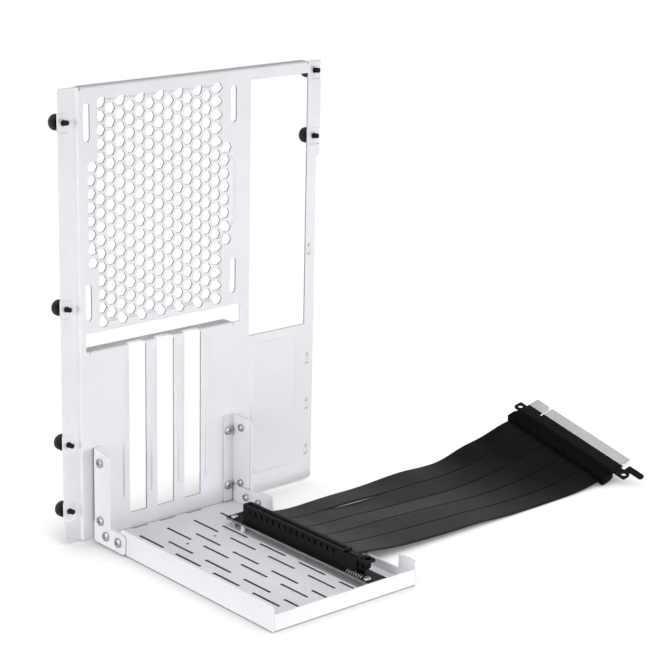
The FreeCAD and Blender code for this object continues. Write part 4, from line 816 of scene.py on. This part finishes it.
def add_plate(side):
    outer, inner = on_side(TRAY.left - METAL, side), on_side(TRAY.left, side)

    def spot_of(along, up):
        return (outer, along, up), (inner, along, up)

    corners = [
        (PLATE.front, PLATE.low, 3.0), (PLATE.back, PLATE.low, 0.8), (PLATE.back, PLATE.high, 1.5),
        (PLATE_STEP_BACK, PLATE.high, 6.0), (PLATE_STEP_BACK, PLATE_STEP_HIGH, 1.2),
        (PLATE.front, PLATE_STEP_HIGH, 3.0),
    ]
    bm = bmesh.new()
    add_sheet(bm, soften(corners, 6), [], [], spot_of, 0.25)
    add_piece("flat_plate_" + side, bm, "white_coat", "side_plate_" + side)


# Turned forms: rows of radius and height, with a wave around the ring where it isn't round
AIMS = {
    "+X": Matrix(((0, 0, 1), (1, 0, 0), (0, 1, 0))), "-X": Matrix(((0, 0, -1), (-1, 0, 0), (0, 1, 0))),
    "+Y": Matrix(((1, 0, 0), (0, 0, 1), (0, -1, 0))), "-Y": Matrix(((1, 0, 0), (0, 0, -1), (0, 1, 0))),
    "+Z": Matrix.Identity(3),
}


def bridge(bm, rows):
    for low, high in zip(rows, rows[1:]):
        for i in range(len(low)):
            j = (i + 1) % len(low)
            bm.faces.new((low[i], low[j], high[j], high[i]))


def turned(bm, spot, aim, rows, count=32):
    rings = []
    for radius, height, *waves in rows:
        ring = []
        for i in range(count):
            angle = 2 * math.pi * i / count
            reach = radius * (waves[0](angle) if waves else 1.0)
            point = AIMS[aim] @ Vector((reach * math.cos(angle), reach * math.sin(angle), height))
            ring.append(bm.verts.new(Vector(spot) + point))
        rings.append(ring)
    bridge(bm, rings)
    bm.faces.new(rings[0])
    bm.faces.new(rings[-1])


def cross(angle):
    return 0.42 + 0.58 * abs(math.cos(2 * angle)) ** 3


def knurl(angle):
    return 1.0 - 0.05 * (0.5 + 0.5 * math.cos(30 * angle)) ** 2


# Cross-head screw with a threaded shank
THREAD = 0.5


def pan_head(bm, spot, aim, radius, height, reach, shank):
    rows = [(shank * 0.55, -reach), (shank * 0.75, -reach + 0.3)]
    for i in range(int((reach - 0.4) / THREAD)):
        low = -reach + 0.35 + THREAD * i
        rows += [(shank * 0.84, low), (shank, low + THREAD / 2)]
    rows += [(shank, 0.0), (radius * 0.94, 0.0), (radius, height * 0.12), (radius, height * 0.38)]
    for i in range(1, 6):
        turn = math.radians(90 * i / 6)
        rows.append((radius * (0.62 + 0.38 * math.cos(turn)), height * (0.38 + 0.62 * math.sin(turn))))
    rows += [
        (radius * 0.62, height), (radius * 0.56, height * 0.98, cross), (radius * 0.5, height * 0.6, cross),
        (radius * 0.3, height * 0.3, cross), (radius * 0.1, height * 0.2),
    ]
    turned(bm, spot, aim, rows, 40)


# Screws of the angles and plates: head radius, head height, reach and shank radius
FRAME_SCREW = (2.9, 1.7, 4.2, 1.5)
ANGLE_SCREW_INSET, ANGLE_SCREW_UPS = 5.0, (48.4, 12.4)
PLATE_SCREWS = ((68.8, 51.5), (68.8, 15.4), (63.3, 7.2), (51.0, 7.2))
CLINCH_NUT = (
    (2.1, 0.0), (2.4, 0.15), (2.4, 1.0), (2.2, 1.3), (1.9, 1.5), (1.68, 1.5), (1.6, 1.2), (1.6, 0.1),
)


def add_frame_screws():
    bm = bmesh.new()
    for x in (TRAY.left + ANGLE_SCREW_INSET, TRAY.right - ANGLE_SCREW_INSET):
        for up in ANGLE_SCREW_UPS:
            pan_head(bm, (x, FACE - METAL, up), "-Y", *FRAME_SCREW)
    add_piece("angle_screw_heads", bm, "screw_steel", "panel_screws")
    heads = bmesh.new()
    nuts = bmesh.new()
    for y, z in PLATE_SCREWS:
        for side, outward, inward in (("left", "-X", "+X"), ("right", "+X", "-X")):
            pan_head(heads, (on_side(TRAY.left - METAL, side), y, z), outward, *FRAME_SCREW)
            turned(nuts, (on_side(TRAY.left + METAL, side), y, z), inward, CLINCH_NUT)
    add_piece("plate_screw_heads", heads, "screw_steel", "plate_screws")
    add_piece("clinch_nuts", nuts, "screw_steel", "plate_nuts")


# Captive thumbscrews, each hanging by a few degrees in its hole
THUMB_TIP = ((0.5, -5.3), (0.8, -5.5), (1.05, -5.5), (1.25, -5.2))
THUMB_CREST, THUMB_ROOT, THUMB_TURNS, THREAD_END = 1.5, 1.25, 10, -5.05
THUMB_HEAD = (
    (1.25, 0.0), (3.0, 0.0), (3.2, 0.2), (3.2, 1.2), (4.1, 1.25), (4.6, 1.5, knurl), (4.8, 2.0, knurl),
    (4.8, 6.9, knurl), (4.6, 7.5, knurl), (4.0, 7.8), (3.4, 7.9), (3.2, 7.6), (0.4, 7.6),
)
THUMB_COLLAR = 3.2
PAD_BACK = FACE + METAL + PAD_SINK
# Each row: side, place across, seat, heights, degrees of sag
THUMBSCREWS = (
    ("left", -SCREW_ACROSS, PAD_BACK + FLANGE_BACK, LEFT_UPS, (6, 5, 2, 6)),
    ("right", SCREW_ACROSS, PAD_BACK, RIGHT_UPS, (5, 6)),
)


def add_thumbscrews():
    thread = []
    for i in range(THUMB_TURNS):
        low = THREAD_END + THREAD * i
        thread += [(THUMB_CREST, low), (THUMB_ROOT, low + THREAD / 2)]
    for side, x, seat, ups, sags in THUMBSCREWS:
        for i, (up, sag) in enumerate(zip(ups, sags)):
            bm = bmesh.new()
            turned(bm, (0, 0, 0), "+Y", [*THUMB_TIP, *thread, *THUMB_HEAD], 120)
            tilt = math.radians(sag)
            spot = (x, seat + THUMB_COLLAR * math.sin(tilt), up)
            bm.transform(Matrix.Translation(spot) @ Matrix.Rotation(-tilt, 4, "X"))
            label = "%s_%d" % (side, i + 1)
            add_piece("knurled_" + label, bm, "black_screw", "thumbscrew_" + label)


# A plate between two parallel planes, with softened rims on both sides
def add_slab(bm, ring, holes, axis, low, high, rim, lines=()):
    def spot_of(a, b):
        if axis == "X":
            return (high, a, b), (low, a, b)
        if axis == "Y":
            return (a, low, b), (a, high, b)
        return (a, b, high), (a, b, low)

    add_sheet(bm, ring, holes, list(lines), spot_of, rim)


# One flat face with sunk pockets, each given by its rings from the mouth down
def add_face(bm, spot_of, outline, pockets):
    spots, triangles = fill(outline, [levels[0][0] for levels in pockets], [])
    made = {}
    for corners in triangles:
        for i in corners:
            if i not in made:
                made[i] = bm.verts.new(spot_of(spots[i].x, spots[i].y, 0.0))
        bm.faces.new([made[i] for i in corners])
    for levels in pockets:
        rings = []
        for ring, depth in levels:
            rings.append([bm.verts.new(spot_of(a, b, depth)) for a, b in ring])
        bridge(bm, rings)
        bm.faces.new(rings[-1])


# Card slot housing with its mouth, slanted side notches and latch cheeks
HOUSING = node_box("slot_housing")
SLOT = round((HOUSING.left + HOUSING.right) / 2, 3)
HALF = round((HOUSING.right - HOUSING.left) / 2, 3)
SLOT_FRONT, SLOT_BACK, SLOT_LOW, SLOT_TOP = -56.8, HOUSING.back, HOUSING.low, HOUSING.high
SLOT_BEVEL, SLOT_EASE = 1.2, 0.45
SIDE_NOTCHES, SIDE_NOTCH_BACK, SIDE_NOTCH_PITCH, SIDE_NOTCH_DEPTH = 15, 27.95, 5.5, 1.4
SIDE_NOTCH = ((-1.25, 13.1), (0.35, 13.1), (1.25, 16.0), (-0.35, 16.0))
MOUTHS = ((22.2, 34.2), (-55.2, 20.4))
# Each row of the mouth: half width, reach past the ends, depth
MOUTH_STEPS = ((1.65, 0.5, 0.0), (0.95, 0.0, 0.9), (0.95, 0.0, 2.0), (1.9, 0.0, 2.1), (1.9, 0.0, 9.2))
FOOT_FLARE, FOOT_INSET, FOOT_BACK, FOOT_HEIGHT = 0.25, 0.4, 34.4, 1.0
LUG_HALF, LUG = 1.4, (35.4, 36.7, 12.6, 16.6)
CHEEK_FRONT, CHEEK_BACK, CHEEK_HIGH, CHEEK = HOUSING.front, -56.7, 16.2, 1.2
HINGE_ALONG, HINGE_UP = -63.3, 10.4
HINGE_BOSS = ((1.9, -0.4), (1.9, 0.1), (1.7, 0.25), (1.1, 0.25), (1.0, 0.1), (0.4, 0.1))


def block(low_x, high_x, low_y, high_y):
    return [(low_x, low_y), (high_x, low_y), (high_x, high_y), (low_x, high_y)]


def slot_ring(ease):
    shoulder = SLOT_BACK - SLOT_BEVEL
    left, right = SLOT - HALF, SLOT + HALF
    return [
        (left + ease, SLOT_FRONT), (right - ease, SLOT_FRONT), (right - ease, shoulder),
        (right - SLOT_BEVEL, SLOT_BACK - ease), (left + SLOT_BEVEL, SLOT_BACK - ease),
        (left + ease, shoulder),
    ]


def add_slot_walls(bm):
    notches = []
    for i in range(SIDE_NOTCHES):
        y = SIDE_NOTCH_BACK - SIDE_NOTCH_PITCH * i
        ring = [(y + step, up) for step, up in SIDE_NOTCH]
        notches.append([(ring, 0.0), (ring, SIDE_NOTCH_DEPTH)])
    side = block(SLOT_FRONT, SLOT_BACK - SLOT_BEVEL, SLOT_LOW, SLOT_TOP - SLOT_EASE)
    for way in (-1, 1):
        add_face(bm, lambda a, b, depth: (SLOT + way * (HALF - depth), a, b), side, notches)


def add_slot_deck(bm):
    mouths = []
    for low, high in MOUTHS:
        levels = []
        for half, past, depth in MOUTH_STEPS:
            levels.append((block(SLOT - half, SLOT + half, low - past, high + past), depth))
        mouths.append(levels)
    deck = slot_ring(SLOT_EASE)
    add_face(bm, lambda a, b, depth: (a, b, SLOT_TOP - depth), deck, mouths)
    top = [bm.verts.new((x, y, SLOT_TOP)) for x, y in deck]
    rim = slot_ring(0)
    upper, lower = ([bm.verts.new((x, y, up)) for x, y in rim] for up in (SLOT_TOP - SLOT_EASE, SLOT_LOW))
    long_sides = (1, 5)
    for i in range(6):
        j = (i + 1) % 6
        bm.faces.new((upper[i], upper[j], top[j], top[i]))
        if i not in long_sides:
            bm.faces.new((lower[i], lower[j], upper[j], upper[i]))
    bm.faces.new(lower)


def add_housing():
    bm = bmesh.new()
    add_slot_walls(bm)
    add_slot_deck(bm)
    bmesh.ops.remove_doubles(bm, verts=bm.verts, dist=TINY)
    flare = HALF + FOOT_FLARE
    foot = block(SLOT - flare, SLOT + flare, SLOT_FRONT + FOOT_INSET, FOOT_BACK)
    add_slab(bm, foot, [], "Z", SLOT_LOW, SLOT_LOW + FOOT_HEIGHT, 0.15)
    add_slab(bm, block(SLOT - LUG_HALF, SLOT + LUG_HALF, *LUG[:2]), [], "Z", *LUG[2:], 0.3)
    cheek = [
        (CHEEK_FRONT, SLOT_LOW, 1.0), (CHEEK_BACK, SLOT_LOW), (CHEEK_BACK, CHEEK_HIGH),
        (CHEEK_FRONT, CHEEK_HIGH, 1.8),
    ]
    for low in (SLOT - HALF, SLOT + HALF - CHEEK):
        add_slab(bm, soften(cheek), [], "X", low, low + CHEEK, 0.2)
    for way, face in (("-X", SLOT - HALF), ("+X", SLOT + HALF)):
        turned(bm, (face, HINGE_ALONG, HINGE_UP), way, HINGE_BOSS)
    add_piece("slot_body", bm, "slot_plastic", "slot_housing")


# Latch lever: blade with an eye, wide head with grip bars, and the trunnion
BLADE_HALF = 2.2
BLADE = (
    (-59.1, 17.0, 1.0), (-76.8, 17.0, 0.6), (-77.3, 15.3, 0.4), (-74.9, 14.6, 0.8), (-75.2, 12.0, 1.0),
    (-73.56, 9.9, 1.2), (-69.8, 9.0, 1.5), (-65.6, 8.4), (-61.1, 8.2, 1.0), (-59.9, 11.4),
)
LATCH_EYE = (-72.6, 12.0, 1.2)
LATCH_HEAD = (
    (-69.4, 15.0, 0.3), (-69.4, 17.0, 0.5), (-76.8, 17.0, 0.7), (-77.3, 15.3, 0.4), (-75.0, 15.0),
)
GRIP_BARS, GRIP_BACK, GRIP_PITCH, GRIP_HALF, GRIP_INSET = 3, -70.7, 1.15, 0.3, 0.5
GRIP_LOW, GRIP_HIGH = 16.8, 17.4
TRUNNION = ((0.7, 0.0), (1.0, 0.3), (1.0, 7.1), (0.7, 7.4))


def add_latch():
    bm = bmesh.new()
    add_slab(bm, soften(BLADE), [disc(*LATCH_EYE, 16)], "X", SLOT - BLADE_HALF, SLOT + BLADE_HALF, 0.3)
    add_slab(bm, soften(LATCH_HEAD), [], "X", SLOT - HALF, SLOT + HALF, 0.35)
    half = HALF - GRIP_INSET
    for i in range(GRIP_BARS):
        y = GRIP_BACK - GRIP_PITCH * i
        bar = rounded(SLOT - half, SLOT + half, y - GRIP_HALF, y + GRIP_HALF, GRIP_HALF, 3)
        add_slab(bm, bar, [], "Z", GRIP_LOW, GRIP_HIGH, 0.15)
    turned(bm, (SLOT - HALF, HINGE_ALONG, HINGE_UP), "+X", TRUNNION)
    add_piece("latch_lever", bm, "slot_plastic", "slot_latch", body=LATCH_BODY)


# Riser board on its posts and rests
BOARD = node_box("riser_board")
POST_ACROSS, POST_ALONG, POST_RADIUS = 2.35, (42.0, -79.0), 2.1
POST_HOLE, VIA = 1.45, 0.45
VIAS = ((10.9, -80.5), (12.2, -77.5), (11.6, -73.6), (5.8, -81.6), (8.1, 44.6), (10.6, 43.4))
BOARD_SCREW = (2.3, 1.5, 4.6, 1.2)
RESTS = ((1.25, 32.0), (11.45, -69.0))
REST = ((1.5, 0.0), (1.7, 0.2), (1.7, 1.2), (1.45, 1.4), (1.45, 3.2), (1.65, 3.5), (1.65, 4.0))


def add_board():
    bm = bmesh.new()
    ring = rounded(BOARD.left, BOARD.right, BOARD.front, BOARD.back, 0.8, 4)
    holes = [disc(POST_ACROSS, y, POST_HOLE, 18) for y in POST_ALONG]
    holes += [disc(x, y, VIA, 10) for x, y in VIAS]
    add_slab(bm, ring, holes, "Z", BOARD.low, BOARD.high, 0.12)
    for face in bm.faces:
        face.normal_update()
        face.material_index = int(abs(face.normal.z) < 0.5)
    add_piece("riser_circuit", bm, "board_mask", "riser_board", second="board_edge")
    posts = bmesh.new()
    screws = bmesh.new()
    for y in POST_ALONG:
        hexagon = [(*corner, 0.3) for corner in disc(POST_ACROSS, y, POST_RADIUS, 6)]
        add_slab(posts, soften(hexagon, 2), [], "Z", METAL, BOARD.low, 0.2)
        pan_head(screws, (POST_ACROSS, y, BOARD.high), "+Z", *BOARD_SCREW)
    add_piece("hex_posts", posts, "post_steel", "board_posts")
    add_piece("board_screw_heads", screws, "screw_steel", "board_screws")
    rests = bmesh.new()
    for x, y in RESTS:
        turned(rests, (x, y, METAL), "+Z", REST)
    add_piece("nylon_rests", rests, "rest_nylon", "board_rests")


# Soldered leads beside the latch
LEADS, LEAD_BACK, LEAD_PITCH, LEAD_WIDTH = 7, -63.0, 2.0, 0.7
LEAD = (
    (-0.2, 6.82), (0.75, 6.82), (1.05, 7.75, 0.15), (2.2, 7.95), (2.2, 8.45), (0.75, 8.25, 0.25),
    (0.4, 7.35), (-0.2, 7.3),
)


def add_leads():
    bm = bmesh.new()
    for i in range(LEADS):
        y = LEAD_BACK - LEAD_WIDTH - LEAD_PITCH * i
        add_slab(bm, soften(LEAD), [], "Y", y, y + LEAD_WIDTH, 0.1)
    add_piece("soldered_leads", bm, "solder_tin", "solder_pins")


# Boot over the ends of the ribbons, with shallow ribs across its top
BOOT = node_box("ribbon_boot")
BOOT_CORNERS = (
    (BOOT.left, BOOT.low), (BOOT.right, BOOT.low), (BOOT.right, 11.2, 0.7), (14.6, BOOT.high, 0.9),
    (11.4, BOOT.high, 0.6), (BOOT.left, 11.8),
)
BOOT_RIB = [(10.9, 12.3), (14.7, 12.3), (14.1, BOOT.high), (11.5, BOOT.high)]
BOOT_RIBS, BOOT_RIB_FRONT, BOOT_RIB_PITCH, BOOT_RIB_WIDTH = 6, -51.9, 16.7, 1.2
BOOT_RIB_FIRST, BOOT_RIB_LAST = -51.4, 31.2


def add_boot():
    bm = bmesh.new()
    add_slab(bm, soften(BOOT_CORNERS), [], "Y", BOOT.front, BOOT.back, 0.4)
    for i in range(BOOT_RIBS):
        low = max(min(BOOT_RIB_FRONT + BOOT_RIB_PITCH * i, BOOT_RIB_LAST), BOOT_RIB_FIRST)
        add_slab(bm, BOOT_RIB, [], "Y", low, low + BOOT_RIB_WIDTH, 0.08)
    add_piece("boot_body", bm, "boot_rubber", "ribbon_boot")


# Plug at the far end, drawn in its own frame: roll, pitch and yaw turn it into place
PLUG_SPOT = (252.45, -46.3, 9.4)
PLUG_DEGREES = (14.43, -16.33, -2.19)
PLUG_TURN = Euler([math.radians(angle) for angle in PLUG_DEGREES])
PLUG = Matrix.LocRotScale(Vector(PLUG_SPOT), PLUG_TURN, None)
SHELL_BACK, SHELL_FRONT, SHELL_LOW, SHELL_HIGH = -20.5, -9.0, -2.0, 85.6
SHELL_STEP, SHELL_STEP_HALF, SHELL_THICK, SHELL_THIN = -13.75, 0.15, 3.0, 2.3
SHELL_PADS, SHELL_PAD, SHELL_PAD_HALF = (4.0, 42.0, 80.0), (-18.4, -15.0), 2.4
CIRCUIT_HALF = 0.8
CIRCUIT = (
    (-18.4, 0.0), (-8.5, 0.0), (-8.5, -9.2, 1.2), (-3.0, -9.2, 0.8), (-1.7, -7.4), (-0.8, -7.4),
    (-0.8, -16.5, 1.6), (3.4, -16.5, 1.6), (3.4, -3.4, 0.8), (-1.9, -3.4), (-1.9, 0.0), (7.2, 0.0),
    (8.15, 0.8), (8.15, 70.7), (7.4, 71.5), (-2.5, 71.5), (-2.5, 73.4), (7.4, 73.4), (8.15, 74.2),
    (8.15, 84.4), (7.2, 85.2), (-1.9, 85.2), (-1.9, 91.3, 1.3), (-8.5, 91.3, 1.3), (-8.5, 85.2),
    (-18.4, 85.2),
)
EAR_BACK, EAR_ALONG, EAR_HOLE = -5.2, (-6.1, 88.2), 1.8


def add_plug_shell():
    def spot_of(a, b):
        half = SHELL_THIN if a > SHELL_STEP else SHELL_THICK
        return (a, b, half), (a, b, -half)

    corners = [
        (SHELL_BACK, SHELL_LOW, 1.2), (SHELL_FRONT, SHELL_LOW, 3.4), (SHELL_FRONT, SHELL_HIGH, 3.4),
        (SHELL_BACK, SHELL_HIGH, 1.2),
    ]
    steps = []
    for x in (SHELL_STEP + SHELL_STEP_HALF, SHELL_STEP - SHELL_STEP_HALF):
        steps.append([(x, SHELL_LOW + 0.1), (x, SHELL_HIGH - 0.1)])
    bm = bmesh.new()
    add_sheet(bm, soften(corners, 3), [], steps, spot_of, 0.45)
    for y in SHELL_PADS:
        pad = rounded(*SHELL_PAD, y - SHELL_PAD_HALF, y + SHELL_PAD_HALF, 0.6, 3)
        add_slab(bm, pad, [], "Z", SHELL_THICK - 0.4, SHELL_THICK + 0.12, 0.12)
    bm.transform(PLUG)
    add_piece("plug_shell", bm, "shroud_plastic", "plug_shroud_upper", "plug_shroud_lower")


def add_plug_circuit():
    bm = bmesh.new()
    holes = [disc(EAR_BACK, y, EAR_HOLE, 18) for y in EAR_ALONG]
    finger_root = [(0.0, -1.0), (0.0, 86.0)]
    add_slab(bm, soften(CIRCUIT, 3), holes, "Z", -CIRCUIT_HALF, CIRCUIT_HALF, 0.15, [finger_root])
    for face in bm.faces:
        middle = face.calc_center_median()
        face.material_index = int(middle.x > 0 and middle.y > -0.1)
    bm.transform(PLUG)
    add_piece("plug_circuit", bm, "board_mask", "plug_board", second="finger_metal")


# The five flat ribbons between six seams, near seam first: heights at stations along the cable
STATIONS = (0, 14, 26, 38, 56, 72, 88, 104, 118, 132, 150, 170, 186, 198, 208, 215.7)
SEAMS = (
    (9.6, 8.2, 6.4, 4.9, 4.0, 3.3, 3.0, 2.9, 1.9, 1.0, 0.75, 0.75, 0.8, 1.4, 2.5, 3.70),
    (9.6, 8.0, 7.0, 6.2, 5.2, 4.5, 3.9, 3.4, 2.8, 1.8, 1.4, 1.3, 2.0, 3.2, 5.0, 7.67),
    (9.6, 7.8, 7.2, 6.9, 6.6, 6.0, 5.2, 4.3, 3.3, 2.6, 2.6, 3.4, 5.2, 7.2, 9.4, 11.63),
    (9.6, 7.6, 7.2, 7.0, 6.2, 5.2, 4.6, 4.0, 3.5, 3.3, 4.2, 6.4, 9.0, 11.4, 13.6, 15.60),
    (9.6, 7.6, 7.4, 7.3, 6.6, 6.4, 6.7, 6.5, 6.3, 6.0, 6.6, 9.6, 13.0, 15.6, 17.8, 19.57),
    (9.6, 7.6, 7.2, 7.6, 7.9, 7.6, 8.2, 9.3, 9.6, 8.6, 8.6, 14.6, 16.7, 19.8, 22.6, 23.54),
)
RIBBON_WIDTH, RIBBON_PITCH, RIBBON_HALF, SEAM_GAP = 16.2, 16.6, 0.6, 0.06
SEAM_FRONT, PLUG_SEAM_FRONT = -51.0, 0.25
FLAT_STEPS, EDGE_STEPS = 14, 6
# The last two ribbons arch a little apart here
ARCH_MIDDLE, ARCH_REACH, ARCH_RISE, ARCH_DROP = 60, 32, 1.15, 0.35


def smooth_line(name, points):
    curve = bpy.data.curves.new(name, "CURVE")
    curve.dimensions = "3D"
    spline = curve.splines.new("NURBS")
    spline.points.add(len(points) - 1)
    for control, point in zip(spline.points, points):
        control.co = (*point, 1.0)
    spline.order_u = 3
    spline.use_endpoint_u = True
    spline.resolution_u = 8
    holder = bpy.data.objects.new(name, curve)
    line = bpy.data.meshes.new_from_object(holder)
    found = [vertex.co.copy() for vertex in line.vertices]
    bpy.data.objects.remove(holder)
    bpy.data.curves.remove(curve)
    bpy.data.meshes.remove(line)
    return found


def seam_line(number):
    start = Vector((BOOT.right, SEAM_FRONT + RIBBON_PITCH * number))
    stop = (PLUG @ Vector((SHELL_BACK, PLUG_SEAM_FRONT + RIBBON_PITCH * number, 0.0))).xy
    points = []
    for along, up in zip(STATIONS, SEAMS[number]):
        spot = start.lerp(stop, along / STATIONS[-1])
        points.append((spot.x, spot.y, up))
    return smooth_line("seam_%d" % number, points)


# Ring of a flat strip with round edges: side, height and reach past the side
def ribbon_section():
    ring = []
    for side in (1, -1):
        for i in range(FLAT_STEPS + 1):
            ring.append((side - side * 2 * i / FLAT_STEPS, side * RIBBON_HALF, 0.0))
        for i in range(1, EDGE_STEPS):
            turn = side * math.pi / 2 + math.pi * i / EDGE_STEPS
            ring.append((-side, RIBBON_HALF * math.sin(turn), RIBBON_HALF * math.cos(turn)))
    return ring


def add_ribbon(number, near, far):
    bm = bmesh.new()
    rows = []
    middles = [(a + b) / 2 for a, b in zip(near, far)]
    for i, (a, b) in enumerate(zip(near, far)):
        ahead = middles[min(i + 1, len(near) - 1)] - middles[max(i - 1, 0)]
        across = (b - a).normalized()
        lift = ahead.normalized().cross(across)
        half = (b - a).length / 2 - SEAM_GAP - RIBBON_HALF
        row = []
        for side, height, past in ribbon_section():
            row.append(bm.verts.new(middles[i] + across * (side * half + past) + lift * height))
        rows.append(row)
    bridge(bm, rows)
    bm.faces.new(rows[0])
    bm.faces.new(rows[-1])
    label = str(number + 1)
    piece = add_piece("ribbon_jacket_" + label, bm, "ribbon_jacket", "ribbon_" + label, sharp=40.0)


def add_ribbons():
    plug_pieces = [bpy.data.objects[name] for name in ("plug_shell", "plug_circuit")]
    plug_pieces.append(frame["nodes"]["plug_contacts"])
    lines = [seam_line(number) for number in range(len(SEAMS))]
    last = len(SEAMS) - 2
    for number in range(len(SEAMS) - 1):
        near = [spot.copy() for spot in lines[number]]
        far = [spot.copy() for spot in lines[number + 1]]
        for a, b in zip(near, far):
            swell = smooth_step(1 - abs(a.x - BOOT.right - ARCH_MIDDLE) / ARCH_REACH)
            if number == last:
                a.z += ARCH_RISE * swell
            if number == last - 1:
                b.z -= ARCH_DROP * swell
        add_ribbon(number, near, far)


# Pale floor with a painted contact shade and a painted soft cast shade: ambient occlusion darkens its glow
FLOOR_SIZE, FLOOR_GAP, FLOOR_TONE, FLOOR_SEEN = 6.0, 0.0002, 0.8, 0.88
CONTACT_REACH = 0.05
CONTACT_TONES = ((0.0, 0.22), (0.5, 0.74), (0.92, 1))
CAST_REACH, CAST_LEAN = 0.085, (-0.1, -0.85, 0.5)
CAST_RANGE, CAST_LEVELS = (0.2, 0.75), (0.3, 1.13)


def floor_material():
    material = bpy.data.materials.new("pale_floor")
    material.use_nodes = True
    nodes = Nodes(material.node_tree)
    base = nodes.tree.nodes["Principled BSDF"]
    nodes.feed(base, {"Base Color": (*[FLOOR_TONE] * 3, 1), "Roughness": 0.9, "Specular IOR Level": 0.0})
    contact = nodes.add("AmbientOcclusion", {"Distance": CONTACT_REACH}, samples=16)
    tones = [(position, [tone] * 3) for position, tone in CONTACT_TONES]
    lean = nodes.add("CombineXYZ", dict(zip("XYZ", CAST_LEAN)))
    cast = nodes.add(
        "AmbientOcclusion", {"Distance": CAST_REACH, "Normal": lean.outputs["Vector"]}, samples=16,
    )
    # Painted shadow: the glow's colour falls with contact occlusion and its strength with occlusion leaned
    # toward the front
    painted_shadow_glow = nodes.add("Emission", {
        "Color": nodes.ramp(contact.outputs["AO"], tones),
        "Strength": nodes.remap(cast.outputs["AO"], CAST_RANGE, CAST_LEVELS),
    })
    share = nodes.add("Math", {0: nodes.seen_rays(), 1: FLOOR_SEEN}, operation="MULTIPLY")
    nodes.mix("Material Output", share.outputs[0], base.outputs["BSDF"], painted_shadow_glow.outputs["Emission"])
    return material


def add_stage():
    mesh = bpy.data.meshes.new("studio_floor")
    bm = bmesh.new()
    bmesh.ops.create_grid(bm, x_segments=1, y_segments=1, size=FLOOR_SIZE)
    bm.to_mesh(mesh)
    bm.free()
    mesh.materials.append(floor_material())
    floor = bpy.data.objects.new("studio_floor", mesh)
    floor.location = (0, 0, -FLOOR_GAP)
    bpy.context.scene.collection.objects.link(floor)


# White backdrop; its light on the object falls from the front to the back
SKY_WAY, SKY_REACH = (-0.2, -0.97, -0.1), (-0.7, 0.7)
SKY_BACK, SKY_FRONT = 0.05, 0.55


def add_world():
    world = bpy.data.worlds.new("studio_world")
    bpy.context.scene.world = world
    world.use_nodes = True
    nodes = Nodes(world.node_tree)
    place = nodes.add("TexCoord").outputs["Generated"]
    facing = nodes.add("VectorMath", {0: place, 1: SKY_WAY}, operation="DOT_PRODUCT")
    strength = nodes.remap(facing.outputs["Value"], SKY_REACH, (SKY_BACK, SKY_FRONT))
    sky = nodes.tree.nodes["Background"]
    nodes.feed(sky, {"Color": (1, 1, 1, 1), "Strength": strength})
    white = nodes.add("Background", {"Color": (1, 1, 1, 1), "Strength": 1.0})
    nodes.mix("World Output", nodes.seen_rays(), sky.outputs["Background"], white.outputs["Background"])


# Soft studio lamps; each row: name, place, target, width, height, power, spread in degrees
LAMPS = (
    ("front_softbox", (0.1, -1.4, 0.16), (0.03, -0.05, 0.04), 1.2, 0.8, 4.6, 180),
    ("left_softbox", (-1.5, -0.1, 0.26), (0, 0, 0.07), 1.0, 0.9, 16.6, 180),
    ("low_fill", (0.32, -0.45, 0.05), (0.09, 0.05, 0.015), 0.6, 0.15, 1.9, 180),
    ("back_softbox", (0, 1.5, 0.05), (0, 0.08, 0.08), 1.4, 0.5, 8.5, 180),
    ("tray_spot", (-0.055, -0.12, 0.9), (-0.05, -0.06, 0), 0.15, 0.15, 0.075, 24),
)


def add_lamp(name, spot, target, width, height, power, spread):
    data = bpy.data.lights.new(name, "AREA")
    data.spread = math.radians(spread)
    data.shape = "RECTANGLE"
    data.size = width
    data.size_y = height
    data.energy = power
    lamp = bpy.data.objects.new(name, data)
    lamp.location = spot
    aim = Vector(target) - Vector(spot)
    lamp.rotation_euler = aim.to_track_quat("-Z", "Y").to_euler()
    bpy.context.scene.collection.objects.link(lamp)


bpy.context.scene.view_settings.view_transform = "Standard"
add_camera()
dress_nodes()
add_panel()
add_tray()
for side in ("left", "right"):
    add_angle(side)
    add_plate(side)
add_frame_screws()
add_thumbscrews()
add_housing()
add_latch()
add_board()
add_leads()
add_boot()
add_plug_shell()
add_plug_circuit()
add_ribbons()
add_stage()
add_world()
for lamp in LAMPS:
    add_lamp(*lamp)
